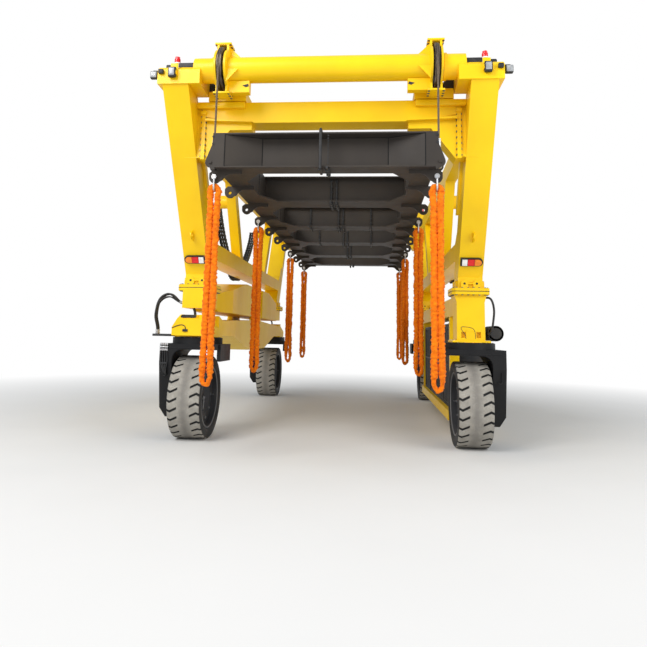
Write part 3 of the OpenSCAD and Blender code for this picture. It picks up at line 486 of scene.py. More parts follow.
class Finishes:
    """The crane's finishes, each built once."""

    def __init__(self) -> None:
        """Builds every finish."""
        grey_dust = (0.42, 0.39, 0.34)
        self.yellow = Paint("yellow_paint", (0.97, 0.63, 0.004), (0.90, 0.54, 0.002), (0.50, 0.31, 0.02),
                            0.24, 0.34, 0.12).build()
        self.black = Paint("black_paint", (0.004, 0.004, 0.005), (0.009, 0.009, 0.010), (0.05, 0.047, 0.042),
                           0.3, 0.42, 0.05).build()
        # Near-black, for the painted shade lines along the lifting frame's beams.
        self.seam = Plastic("seam_shadow", (0.002, 0.002, 0.002), (0.006, 0.005, 0.005), 0.9).build()
        self.dark = Paint("frame_paint", (0.036, 0.030, 0.026), (0.052, 0.042, 0.033), (0.085, 0.068, 0.052),
                          0.5, 0.5, 0.0).build()
        self.machine = Paint("machine_grey", (0.022, 0.023, 0.026), (0.045, 0.045, 0.046), grey_dust,
                             0.2, 0.5, 0.0).build()
        self.rim = Paint("rim_paint", (0.030, 0.031, 0.034), (0.05, 0.05, 0.053), grey_dust, 0.2, 0.42, 0.0).build()
        self.rim_edge = Paint("rim_edge", (0.16, 0.16, 0.165), (0.09, 0.09, 0.095), grey_dust, 0.4, 0.4, 0.0).build()
        self.rust = Paint("rusty_plate", (0.16, 0.055, 0.022), (0.24, 0.09, 0.03), (0.32, 0.2, 0.1),
                          0.4, 0.7, 0.0).build()
        self.steel = Metal("zinc_steel", (0.68, 0.69, 0.71), (0.42, 0.38, 0.33), 0.28, 30.0).build()
        self.sheave = Metal("sheave_steel", (0.10, 0.08, 0.06), (0.30, 0.24, 0.18), 0.4, 12.0).build()
        self.worn_bolt = Metal("bolt_steel", (0.20, 0.19, 0.17), (0.10, 0.075, 0.05), 0.42, 30.0).build()
        self.glass = Plastic("lamp_glass", (0.30, 0.31, 0.32), (0.5, 0.5, 0.5), 0.08).build()
        self.rubber = Plastic("black_rubber", (0.010, 0.010, 0.011), (0.05, 0.048, 0.045), 0.55).build()
        self.red = Plastic("red_lens", (0.75, 0.010, 0.012), (0.55, 0.02, 0.02), 0.12).build()
        self.amber = Plastic("amber_lens", (0.95, 0.27, 0.010), (0.75, 0.2, 0.02), 0.12).build()
        self.clear = Plastic("white_lens", (0.88, 0.88, 0.86), (0.7, 0.7, 0.68), 0.12).build()
        self.rope = RopeSteel("wire_rope").build()
        self.fabric = SlingFabric("sling_fabric").build()
        self.tyres = {
            corner_name(side, end): TyreRubber(
                f"tyre_rubber_{corner_name(side, end)}",
                (side.value * WHEEL_X, end.value * WHEEL_Y, TYRE_R),
            ).build()
            for side, end in CORNERS
        }


def dress(node: str, material: bpy.types.Material) -> None:
    """Gives a carried-over node its finish.

    Args:
        node: The node's name.
        material: Its material.
    """
    data = frame["nodes"][node].data
    data.materials.clear()
    data.materials.append(material)


def finished(mesh: bmesh.types.BMesh, name: str, material: bpy.types.Material, body: str | None,
             smooth: float = 35.0) -> bpy.types.Object:
    """Turns a bmesh into an object at the origin that rides on a body.

    Args:
        mesh: The finished shape, in the frame's own coordinates. It is freed.
        name: The piece's name.
        material: Its finish.
        body: The body that it rides on, or None where it rides on no body.
        smooth: The largest angle, in degrees, that is shaded smooth.

    Returns:
        The new object.
    """
    bmesh.ops.recalc_face_normals(mesh, faces=mesh.faces)
    limit = math.radians(smooth)
    for face in mesh.faces:
        face.smooth = True
    for edge in mesh.edges:
        edge.smooth = len(edge.link_faces) == 2 and edge.calc_face_angle(0.0) < limit
    data = bpy.data.meshes.new(name)
    mesh.to_mesh(data)
    mesh.free()
    data.materials.append(material)
    piece = bpy.data.objects.new(name, data)
    bpy.context.scene.collection.objects.link(piece)
    if body is not None:
        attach(piece, body)
    LOG.info("%s: %d faces", name, len(data.polygons))
    return piece


def add_box(mesh: bmesh.types.BMesh, low: Point, high: Point, bevel: float = 0.0) -> None:
    """Adds a box with bevelled edges.

    Args:
        mesh: The bmesh to add to.
        low: Its lowest corner.
        high: Its highest corner.
        bevel: The width of the bevel, or 0 for sharp edges.
    """
    made = bmesh.ops.create_cube(mesh, size=1.0)["verts"]
    size = Vector(high) - Vector(low)
    bmesh.ops.scale(mesh, vec=size, verts=made)
    bmesh.ops.translate(mesh, vec=(Vector(high) + Vector(low)) / 2, verts=made)
    if bevel > 0:
        edges = {edge for vert in made for edge in vert.link_edges}
        bmesh.ops.bevel(mesh, geom=list(edges), offset=bevel, segments=2, profile=0.5, affect="EDGES", material=-1)


def add_rod(mesh: bmesh.types.BMesh, start: Point, finish: Point, radius: float, sides: int = 16,
            end_radius: float | None = None) -> list[bmesh.types.BMVert]:
    """Adds a closed rod or cone between two points.

    Args:
        mesh: The bmesh to add to.
        start: The middle of its first end.
        finish: The middle of its last end.
        radius: Its radius at the first end.
        sides: The number of its sides.
        end_radius: Its radius at the last end, where that differs.

    Returns:
        Its vertices.
    """
    run = Vector(finish) - Vector(start)
    place = Matrix.Translation((Vector(start) + Vector(finish)) / 2) @ run.to_track_quat("Z", "Y").to_matrix().to_4x4()
    last = radius if end_radius is None else end_radius
    return bmesh.ops.create_cone(mesh, cap_ends=True, cap_tris=False, segments=sides, radius1=radius,
                                 radius2=last, depth=run.length, matrix=place)["verts"]


def smooth_route(points: Sequence[Point], step: float) -> list[Vector]:
    """Runs a smooth curve through a route's points.

    Args:
        points: The route's points.
        step: The distance between the points of the curve.

    Returns:
        The curve's points.
    """
    route = [Vector(p) for p in points]
    ends = [route[0] * 2 - route[1], *route, route[-1] * 2 - route[-2]]
    curve = [route[0]]
    for before, first, last, after in zip(ends, ends[1:], ends[2:], ends[3:]):
        length = (last - first).length
        pull = length / 3
        leave = first + (last - before).normalized() * pull
        arrive = last - (after - first).normalized() * pull
        count = max(2, round(length / step))
        for k in range(1, count + 1):
            t = k / count
            curve.append(first * (1 - t) ** 3 + leave * 3 * t * (1 - t) ** 2
                         + arrive * 3 * t * t * (1 - t) + last * t ** 3)
    return curve


def sweep(mesh: bmesh.types.BMesh, route: Sequence[Vector], radius: Callable[[float], float], sides: int,
          up: Point = (0, 1, 0)) -> float:
    """Sweeps a ring along a route by extruding it from point to point.

    Args:
        mesh: The bmesh to add to.
        route: The points that the tube follows.
        radius: The tube's radius at a distance along the route.
        sides: The number of its sides.
        up: A direction that the route never runs along.

    Returns:
        The route's length.
    """
    def place(index: int) -> Matrix:
        """Returns the frame of the ring at a point of the route."""
        run = (route[min(index + 1, len(route) - 1)] - route[max(index - 1, 0)]).normalized()
        side = Vector(up).cross(run).normalized()
        turn = Matrix((side, run.cross(side), run)).transposed().to_4x4()
        return Matrix.Translation(route[index]) @ turn

    uv = mesh.loops.layers.uv.verify()
    ring = bmesh.ops.create_circle(mesh, cap_ends=False, radius=radius(0.0), segments=sides,
                                   matrix=place(0))["verts"]
    first = list(ring)
    walked = 0.0
    known = radius(0.0)
    for index in range(1, len(route)):
        step = (route[index] - route[index - 1]).length
        edges = [e for e in {e for v in ring for e in v.link_edges} if all(v in ring for v in e.verts)]
        made = bmesh.ops.extrude_edge_only(mesh, edges=edges)["geom"]
        ring = [g for g in made if isinstance(g, bmesh.types.BMVert)]
        size = radius(walked + step)
        shape = place(index) @ Matrix.Scale(size / known, 4) @ place(index - 1).inverted()
        bmesh.ops.transform(mesh, matrix=shape, verts=ring)
        back = place(index).inverted()
        for face in (g for g in made if isinstance(g, bmesh.types.BMFace)):
            around = [math.atan2(*(back @ loop.vert.co).yx) / math.tau for loop in face.loops]
            wrap = max(around) - min(around) > 0.5
            for loop, turn in zip(face.loops, around):
                along = walked + step if loop.vert in ring else walked
                loop[uv].uv = (turn + 1.0 if wrap and turn < 0 else turn, along)
        walked += step
        known = size
    for rim in (first, ring):
        bmesh.ops.contextual_create(mesh, geom=rim)
    return walked


def route_length(route: Sequence[Vector]) -> float:
    """Returns the length of a route."""
    return sum((b - a).length for a, b in zip(route, route[1:]))


@dataclass
class Studio:
    """Camera, pale floor and soft light.

    Args:
        focal: The lens in millimetres on a 36 mm sensor.
        place: The camera's place.
        yaw: Its turn to the left, in degrees.
        pitch: Its tilt upwards, in degrees.
        roll: Its roll, in degrees.
        shift_y: The vertical shift of the frame.
    """

    focal: float = 32.83
    place: tuple[float, float, float] = (0.661, -13.11, 1.66)
    yaw: float = 4.821
    pitch: float = 8.258
    roll: float = -1.145
    shift_y: float = -0.1136

    def camera(self) -> None:
        """Makes the camera at the photograph's viewing angle."""
        yaw, pitch, roll = (math.radians(a) for a in (self.yaw, self.pitch, self.roll))
        ahead = Vector((-math.sin(yaw) * math.cos(pitch), math.cos(yaw) * math.cos(pitch), math.sin(pitch)))
        flat = Vector((math.cos(yaw), math.sin(yaw), 0))
        rise = flat.cross(ahead)
        right = flat * math.cos(roll) - rise * math.sin(roll)
        top = rise * math.cos(roll) + flat * math.sin(roll)
        data = bpy.data.cameras.new("camera")
        data.lens = self.focal
        data.sensor_width = 36.0
        data.shift_y = self.shift_y
        data.clip_end = 200.0
        camera = bpy.data.objects.new("camera", data)
        camera.matrix_world = (Matrix.Translation(self.place)
                               @ Matrix((right, top, -ahead)).transposed().to_4x4())
        bpy.context.scene.collection.objects.link(camera)
        bpy.context.scene.camera = camera

    def floor(self) -> None:
        """Makes the pale floor, which keeps the object's shadow."""
        mesh = bmesh.new()
        bmesh.ops.create_grid(mesh, x_segments=1, y_segments=1, size=60.0)
        shader = Shader("pale_floor")
        shader.colour(shader.mix(shader.noise(0.6, 5.0), (0.70, 0.69, 0.67), (0.76, 0.75, 0.73)))
        shader.bsdf.inputs["Roughness"].default_value = 0.9
        shader.bsdf.inputs["Specular IOR Level"].default_value = 0.1
        square = [shader.math("MULTIPLY", shader.axis(k), shader.axis(k)) for k in (0, 1)]
        reach = shader.math("SQRT", shader.math("ADD", *square), 0)
        haze = shader.add("ShaderNodeEmission", Strength=1.0)
        fade = shader.add("ShaderNodeMixShader")
        shader.link(shader.ramp(reach, 5.0, 14.0), fade.inputs[0])
        shader.link(shader.bsdf.outputs[0], fade.inputs[1])
        shader.link(haze.outputs[0], fade.inputs[2])
        shader.link(fade.outputs[0], shader.material.node_tree.nodes["Material Output"].inputs["Surface"])
        data = bpy.data.meshes.new("floor")
        mesh.to_mesh(data)
        mesh.free()
        data.materials.append(shader.material)
        floor = bpy.data.objects.new("floor", data)
        bpy.context.scene.collection.objects.link(floor)

    def light(self) -> None:
        """Makes an even sky, white to the camera, and two large soft lamps."""
        world = bpy.data.worlds.new("sky")
        bpy.context.scene.world = world
        world.use_nodes = True
        tree = world.node_tree
        sky = tree.nodes["Background"]
        sky.inputs["Color"].default_value = (0.90, 0.95, 1.0, 1)
        sky.inputs["Strength"].default_value = 0.62
        white = tree.nodes.new("ShaderNodeBackground")
        white.inputs["Color"].default_value = (1, 1, 1, 1)
        white.inputs["Strength"].default_value = 1.0
        path = tree.nodes.new("ShaderNodeLightPath")
        seen = tree.nodes.new("ShaderNodeMath")
        seen.operation = "MAXIMUM"
        tree.links.new(path.outputs["Is Camera Ray"], seen.inputs[0])
        tree.links.new(path.outputs["Is Transmission Ray"], seen.inputs[1])
        mix = tree.nodes.new("ShaderNodeMixShader")
        tree.links.new(seen.outputs[0], mix.inputs[0])
        tree.links.new(sky.outputs[0], mix.inputs[1])
        tree.links.new(white.outputs[0], mix.inputs[2])
        tree.links.new(mix.outputs[0], tree.nodes["World Output"].inputs["Surface"])
        for name, place, power, size in (("key", (-7, -14, 11), 1500.0, 7.0), ("fill", (9, -10, 6), 520.0, 8.0)):
            data = bpy.data.lights.new(name, "AREA")
            data.energy = power
            data.size = size
            lamp = bpy.data.objects.new(name, data)
            lamp.location = place
            lamp.rotation_euler = (Vector((0, 0, 2.5)) - Vector(place)).to_track_quat("-Z", "Y").to_euler()
            bpy.context.scene.collection.objects.link(lamp)

    def build(self) -> None:
        """Makes the whole studio."""
        bpy.context.scene.view_settings.view_transform = "Standard"
        self.camera()
        self.floor()
        self.light()


@dataclass
class Slings:
    """Eight round slings, each hung double over the bow of its shackle.

    Args:
        finishes: The crane's finishes.
        stations: Distances of the slings from the crane's middle.
        top: Height of the strands' start beside the bow.
        diameter: Diameter of a strand.
    """

    finishes: Finishes
    stations: tuple[float, ...] = (2.22, 5.4)
    top: float = 3.582
    diameter: float = 0.088
    strand: tuple[tuple[float, float], ...] = (
        (-0.058, 0.0), (-0.047, -0.15), (-0.043, -0.5), (-0.044, -1.2), (-0.043, -1.9), (-0.050, -2.36),
        (-0.046, -2.525), (0.0, -2.585), (0.046, -2.525), (0.050, -2.36), (0.043, -1.9), (0.044, -1.2),
        (0.043, -0.5), (0.047, -0.15), (0.058, 0.0))
    eye: tuple[tuple[float, float], ...] = (
        (-0.058, -0.01), (-0.058, 0.0), (-0.041, 0.041), (0.0, 0.058), (0.041, 0.041), (0.058, 0.0), (0.058, -0.01))

    def ruched(self, route: Sequence[Vector], seed: float, radius: float, pinch: float = 1.0) -> bmesh.types.BMesh:
        """Makes a gathered sleeve along a route.

        Args:
            route: The points that the strand follows.
            seed: Where in the noise this strand's folds are read.
            radius: The sleeve's mean radius.
            pinch: The share of the radius that is left where the strand turns at its lowest point.

        Returns:
            The sleeve.
        """
        mesh = bmesh.new()
        half = route_length(route) / 2
        sweep(mesh, route, lambda s: radius * (pinch + (1 - pinch) * min(1.0, (abs(s - half) / 0.22) ** 2)), 20)
        for vert in mesh.verts:
            near = min(route, key=lambda p: (p - vert.co).length_squared)
            out = (vert.co - near).normalized()
            spot = vert.co * 1.0 + Vector((seed, seed * 0.7, 0))
            fold = noise.noise(Vector((spot.x * 14, spot.y * 14, spot.z * 40)))
            slack = noise.noise(Vector((spot.x * 5, spot.y * 5, spot.z * 9)))
            vert.co += out * radius * max(-0.24, min(0.2, 0.42 * fold + 0.22 * slack))
        return mesh

    def build(self) -> None:
        """Makes the slings, with the eye of each over its shackle's bow."""
        for side in Side:
            for end in End:
                for index, station in enumerate(self.stations):
                    self.hang(side, end, index, station)

    def hang(self, side: Side, end: End, index: int, station: float) -> None:
        """Makes one sling.

        Args:
            side: Its side of the crane.
            end: Its end of the crane.
            index: Its number from the middle.
            station: Its distance from the middle.
        """
        middle = Vector((side.value * LUG_X, end.value * station, self.top))
        route = smooth_route([middle + Vector((x, 0, z)) for x, z in self.strand], 0.012)
        label = f"{corner_name(side, end)}_{index + 1}"
        seed = side.value * 3.1 + end.value * 1.7 + index * 5.3
        sling = finished(self.ruched(route, seed, self.diameter / 2, 0.72), f"sling_{label}", self.finishes.fabric,
                         "lifting_frame", smooth=60)
        eye_route = smooth_route([middle + Vector((x, 0, z)) for x, z in self.eye], 0.012)
        eye = finished(self.ruched(eye_route, seed + 9, self.diameter / 2), f"sling_eye_{label}",
                       self.finishes.fabric, "lifting_frame", smooth=60)
        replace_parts(sling, "slings")
        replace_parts(eye, "slings")
        for piece in (sling, eye):
            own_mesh(piece)


@dataclass
class HoistRopes:
    """Four wire ropes, from the winch up over the sheave and down to the socket.

    Args:
        finishes: The crane's finishes.
        radius: The rope's radius.
        low: Height of the socket's top.
        winch: Height at which the rope leaves its winch.
    """

    finishes: Finishes
    radius: float = 0.014
    low: float = 4.30
    winch: float = 5.16

    def build(self) -> None:
        """Makes the ropes' moving falls and their fixed runs over the sheaves."""
        for side, end in CORNERS:
            x = side.value * SHEAVE_X
            out = end.value
            fall = bmesh.new()
            top = Vector((x, out * (TUBE_Y + SHEAVE_R), TUBE_Z))
            drop = [top.lerp(Vector((top.x, top.y, self.low)), k / 40) for k in range(41)]
            sweep(fall, drop, lambda s: self.radius, 12)
            piece = finished(fall, f"rope_fall_{corner_name(side, end)}", self.finishes.rope, None, 60)
            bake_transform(piece)
            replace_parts(piece, "hoist_ropes")
            wrap = bmesh.new()
            arc = [Vector((x, out * (TUBE_Y + SHEAVE_R * math.cos(a)), TUBE_Z + SHEAVE_R * math.sin(a)))
                   for a in (math.pi * k / 32 for k in range(33))]
            arc.append(Vector((x, out * (TUBE_Y - SHEAVE_R), self.winch)))
            sweep(wrap, arc, lambda s: self.radius, 12, up=(1, 0, 0))
            over = finished(wrap, f"rope_wrap_{corner_name(side, end)}", self.finishes.rope, "frame", 60)
            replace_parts(over, "hoist_ropes")


@dataclass
class SteeringHoses:
    """Hydraulic hoses that arch from the equaliser's front box to the rocker beam.

    Args:
        finishes: The crane's finishes.
        step: The distance from hose to hose.
        radius: A hose's radius.
    """

    finishes: Finishes
    step: float = 0.06
    radius: float = 0.017
    thin: float = 0.0105
    route: tuple[tuple[float, float, float], ...] = (
        (-2.3903, -3.66, 2.15), (-2.45, -3.66, 2.15), (-2.62, -3.70, 2.28), (-2.76, -3.74, 2.20),
        (-2.81, -3.76, 1.95), (-2.77, -3.76, 1.74), (-2.77, -3.76, 1.6403))

    def build(self) -> None:
        """Makes two thick hoses, with a thinner one below each."""
        for index in range(4):
            thick = index % 2 == 0
            radius = self.radius if thick else self.thin
            dips = (0.0,) * 7 if thick else (0.0, 0.0, -0.045, -0.05, -0.01, 0.0, 0.0)
            across = index * self.step / 2
            route = smooth_route([Vector((x, y - across, z + dip)) for (x, y, z), dip in zip(self.route, dips)], 0.02)
            mesh = bmesh.new()
            sweep(mesh, route, lambda s, r=radius: r, 12)
            hose = finished(mesh, f"steering_hose_{index + 1}", self.finishes.rubber, None, 60)
            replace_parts(hose, "steering_hoses")
            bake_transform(hose)


class Stamp:
    """A small shape that is made once and copied to many places.

    Args:
        shape: The shape, in its own coordinates. It is freed.
    """

    def __init__(self, shape: bmesh.types.BMesh) -> None:
        """Keeps the shape's mesh."""
        self.data = bpy.data.meshes.new("stamp")
        shape.to_mesh(self.data)
        shape.free()

    def press(self, mesh: bmesh.types.BMesh, places: Sequence[Matrix]) -> None:
        """Adds a copy at each place.

        Args:
            mesh: The bmesh to add to.
            places: The copies' matrices.
        """
        for place in places:
            copy = self.data.copy()
            copy.transform(place)
            mesh.from_mesh(copy)
            bpy.data.meshes.remove(copy)


def facing(place: Point, out: Point, size: float = 1.0) -> Matrix:
    """Returns the matrix that puts a stamp at a place with its Z axis along a direction."""
    turn = Vector(out).to_track_quat("Z", "Y").to_matrix().to_4x4()
    return Matrix.Translation(place) @ turn @ Matrix.Scale(size, 4)


def bolt_stamp() -> Stamp:
    """Returns a hexagon bolt head on its washer, with a head radius of 1."""
    mesh = bmesh.new()
    add_rod(mesh, (0, 0, -0.05), (0, 0, 0.18), 1.45, 14)
    add_rod(mesh, (0, 0, 0.17), (0, 0, 0.85), 1.0, 6)
    return Stamp(mesh)


def add_prism(mesh: bmesh.types.BMesh, outline: Sequence[Point], offset: Point) -> None:
    """Adds a prism.

    Args:
        mesh: The bmesh to add to.
        outline: The corners of its first face.
        offset: The way from its first face to its last.
    """
    corners = [bmesh.ops.create_vert(mesh, co=Vector(p))["vert"][0] for p in outline]
    face = bmesh.ops.contextual_create(mesh, geom=corners)["faces"]
    made = bmesh.ops.extrude_face_region(mesh, geom=face, use_keep_orig=True)["geom"]
    bmesh.ops.translate(mesh, vec=Vector(offset), verts=[g for g in made if isinstance(g, bmesh.types.BMVert)])


def leg_out(z: float) -> float:
    """Returns the distance of a leg's outer face from the middle at a height."""
    return WHEEL_Y + 0.225 + (z - BEND_Z) * LEAN


def at(side: Side, end: End, x: float, y: float, z: float) -> Vector:
    """Returns the point of a corner that the right back corner has at x, y and z."""
    return Vector((side.value * x, end.value * y, z))


@dataclass
class Trim:
    """Fine pieces that ride on the crane's bodies.

    Args:
        finishes: The crane's finishes.
        bolt: The bolt head that all of them use.
    """

    finishes: Finishes
    bolt: Stamp

    def box(self, mesh: bmesh.types.BMesh, side: Side, end: End, low: Point, high: Point, bevel: float) -> None:
        """Adds a bevelled box at a corner.

        Args:
            mesh: The bmesh to add to.
            side: The corner's side.
            end: The corner's end.
            low: The box's lowest corner at the right back corner.
            high: Its highest corner there.
            bevel: The width of its bevel.
        """
        first, last = at(side, end, *low), at(side, end, *high)
        add_box(mesh, [min(a, b) for a, b in zip(first, last)], [max(a, b) for a, b in zip(first, last)], bevel)

    def bolts(self, mesh: bmesh.types.BMesh, spots: Sequence[Point], out: Point, size: float) -> None:
        """Adds bolt heads that all face one way."""
        self.bolt.press(mesh, [facing(spot, out, size) for spot in spots])


@dataclass
class FootJoints(Trim):
    """The bolted flanges under the legs: dark seam, bolt heads and the pins of the bolting ears."""

    half: float = 0.29
    cut: float = 0.049

    def build(self) -> None:
        """Makes the seams, bolts and ear pins of the four legs."""
        heads, seams, rods = bmesh.new(), bmesh.new(), bmesh.new()
        rim = self.half - 0.028
        across = [-0.22, -0.13, -0.04, 0.04, 0.13, 0.22]
        for side, end in CORNERS:
            middle = at(side, end, WHEEL_X, WHEEL_Y, 0)
            edge, cut = self.half + 0.002, self.cut
            ring = [(-edge + cut, -edge), (edge - cut, -edge), (edge, -edge + cut), (edge, edge - cut),
                    (edge - cut, edge), (-edge + cut, edge), (-edge, edge - cut), (-edge, -edge + cut)]
            add_prism(seams, [middle + Vector((x, y, (FOOT_Z + LEG_Z) / 2 - 0.005)) for x, y in ring], (0, 0, 0.010))
            for z, out in ((FOOT_Z, (0, 0, -1)), (LEG_Z, (0, 0, 1))):
                spots = [middle + Vector((s * rim, t, z)) for s in (-1, 1) for t in across]
                spots += [middle + Vector((t, s * rim, z)) for s in (-1, 1) for t in across]
                self.bolts(heads, spots, out, 0.015)
            for face in (-1, 1):
                y = end.value * WHEEL_Y + face * 0.262
                spots = [(middle.x + s * 0.095, y, LEG_Z + 0.07) for s in (-1, 1)]
                self.bolts(seams, spots, (0, face, 0), 0.012)
                add_rod(rods, (middle.x - 0.095, y - face * 0.012, LEG_Z + 0.07),
                        (middle.x + 0.095, y - face * 0.012, LEG_Z + 0.07), 0.011)
        finished(heads, "foot_bolts", self.finishes.worn_bolt, "frame")
        finished(seams, "foot_seams", self.finishes.rubber, "frame")
        finished(rods, "foot_ear_rods", self.finishes.yellow, "frame")


@dataclass
class BeamTrim(Trim):
    """What is bolted to the cross beams: joint bolts, anchor bars, wedges, winch motors and cap plates."""

    face_y: float = 4.7388
    depth: float = 0.35

    def build(self) -> None:
        """Makes the pieces at the four ends of the cross beams."""
        heads, plates, black = bmesh.new(), bmesh.new(), bmesh.new()
        for side, end in CORNERS:
            self.joint(heads, plates, side, end)
            self.motor(black, side, end)
            self.cap(heads, plates, black, side, end)
        finished(heads, "beam_bolts", self.finishes.worn_bolt, "frame")
        finished(plates, "beam_plates", self.finishes.yellow, "frame")
        finished(black, "beam_motors", self.finishes.machine, "frame")

    def joint(self, heads: bmesh.types.BMesh, plates: bmesh.types.BMesh, side: Side, end: End) -> None:
        """Adds the bolt columns, the anchor bar and the wedge of one joint."""
        for row in (self.face_y - 0.015, self.face_y - self.depth + 0.015):
            for x, out in ((JOINT_X - 0.03, -1), (JOINT_X + 0.03, 1)):
                spots = [at(side, end, x, row, 4.29 + 0.088 * k) for k in range(10)]
                self.bolts(heads, spots, (side.value * out, 0, 0), 0.014)
        self.box(plates, side, end, (1.27, self.face_y, 5.015), (1.998, self.face_y + 0.075, 5.105), 0.006)
        self.box(plates, side, end, (JOINT_X - 0.045, self.face_y, 4.93), (JOINT_X + 0.045, self.face_y + 0.03, 4.99),
                 0.012)
        wedge = [(JOINT_X - 0.03, 4.865), (JOINT_X - 0.03, 4.825), (1.14, 4.80)]
        add_prism(plates, [at(side, end, x, self.face_y, z) for x, z in wedge], (0, end.value * 0.05, 0))

    def motor(self, black: bmesh.types.BMesh, side: Side, end: End) -> None:
        """Adds one winch motor with its cooling ribs and its terminal box."""
        x, z, r = 1.775, 5.36, 0.088
        low, high = self.face_y - 0.30, self.face_y - 0.01
        add_rod(black, at(side, end, x, low, z), at(side, end, x, high, z), r, 28)
        for k in range(9):
            y = low + 0.03 + k * 0.028
            add_rod(black, at(side, end, x, y, z), at(side, end, x, y + 0.012, z), r + 0.012, 28)
        self.box(black, side, end, (x - 0.05, low + 0.08, z + r - 0.01), (x + 0.05, low + 0.2, z + r + 0.03), 0.008)
        self.box(black, side, end, (x - 0.085, high - 0.01, z - 0.085), (x + 0.085, high + 0.02, z + 0.085), 0.01)

    def cap(self, heads: bmesh.types.BMesh, plates: bmesh.types.BMesh, black: bmesh.types.BMesh,
            side: Side, end: End) -> None:
        """Adds the bolted cap and foot plates of one sheave bracket, and a thin dark plate of painted shade where its
        lower box has a hole.
        """
        top, base = TUBE_Z + SHEAVE_R + 0.038, TUBE_Z - SHEAVE_R - 0.07
        for z in (top, base):
            self.box(plates, side, end, (SHEAVE_X - 0.12, TUBE_Y - 0.12, z), (SHEAVE_X + 0.12, TUBE_Y + 0.12, z + 0.026),
                     0.005)
            for out, level in ((-1, z), (1, z + 0.026)):
                spots = [at(side, end, SHEAVE_X + s * 0.103, TUBE_Y + t * 0.085, level) for s in (-1, 1) for t in (-1, 0, 1)]
                self.bolts(heads, spots, (0, 0, out), 0.013)
        # Painted shade: a thin dark plate stands in for the shaded hole in the lower box.
        slot = [(1.14, 5.20), (1.15, 5.237), (1.235, 5.215), (1.185, 5.185)]
        add_prism(black, [at(side, end, x, TUBE_Y + 0.06, z) for x, z in slot], (0, end.value * 0.004, 0))
        for z in (TUBE_Z - 0.12, TUBE_Z + 0.12):
            self.bolts(heads, [at(side, end, SHEAVE_X + 0.086, TUBE_Y + t, z) for t in (-0.16, 0.16)],
                       (side.value, 0, 0), 0.012)


@dataclass
class TailLamps(Trim):
    """Long lamps low on the legs: a dark frame with amber, red and white lenses."""

    low: float = 2.79
    width: float = 0.34
    height: float = 0.13

    def build(self) -> None:
        """Makes the four lamps."""
        frames = bmesh.new()
        lenses = {"amber": bmesh.new(), "red": bmesh.new(), "white": bmesh.new()}
        spans = {"amber": (0.215, 0.318), "red": (0.105, 0.209), "white": (0.022, 0.099)}
        for side, end in CORNERS:
            up = Vector((0, end.value * math.sin(math.atan(LEAN)), math.cos(math.atan(LEAN))))
            out = Vector((0, end.value * math.cos(math.atan(LEAN)), -math.sin(math.atan(LEAN))))
            across = Vector((side.value, 0, 0))
            place = Matrix((across, out, up)).transposed().to_4x4()
            place.translation = at(side, end, WHEEL_X - self.width / 2, leg_out(self.low), self.low)
            self.plate(frames, place, 0.0, self.width, 0.0, 0.045, 0.0)
            for name, (first, last) in spans.items():
                self.plate(lenses[name], place, first, last, 0.044, 0.062, 0.016)
        dark = finished(frames, "tail_lamp_frames", self.finishes.rubber, "frame")
        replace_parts(dark, "tail_lamps")
        looks = {"amber": self.finishes.amber, "red": self.finishes.red, "white": self.finishes.clear}
        for name, mesh in lenses.items():
            lens = finished(mesh, f"tail_lamp_{name}", looks[name], "frame")
            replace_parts(lens, "tail_lamps")

    def plate(self, mesh: bmesh.types.BMesh, place: Matrix, first: float, last: float, back: float, front: float,
              inset: float) -> None:
        """Adds a bevelled plate, rounded where it reaches the lamp's outer end."""
        low, high = inset, self.height - inset
        radius = (high - low) / 2
        outline = [(first, high), (first, low)]
        if last > 0.3:
            turn = [math.pi * (k / 12 - 0.5) for k in range(13)]
            middle = last - radius
            outline += [(middle + radius * math.cos(a), (low + high) / 2 + radius * math.sin(a)) for a in turn]
        else:
            outline += [(last, low), (last, high)]
        add_prism(mesh, [place @ Vector((x, back, z)) for x, z in outline],
                  place.to_3x3() @ Vector((0, front - back, 0)))


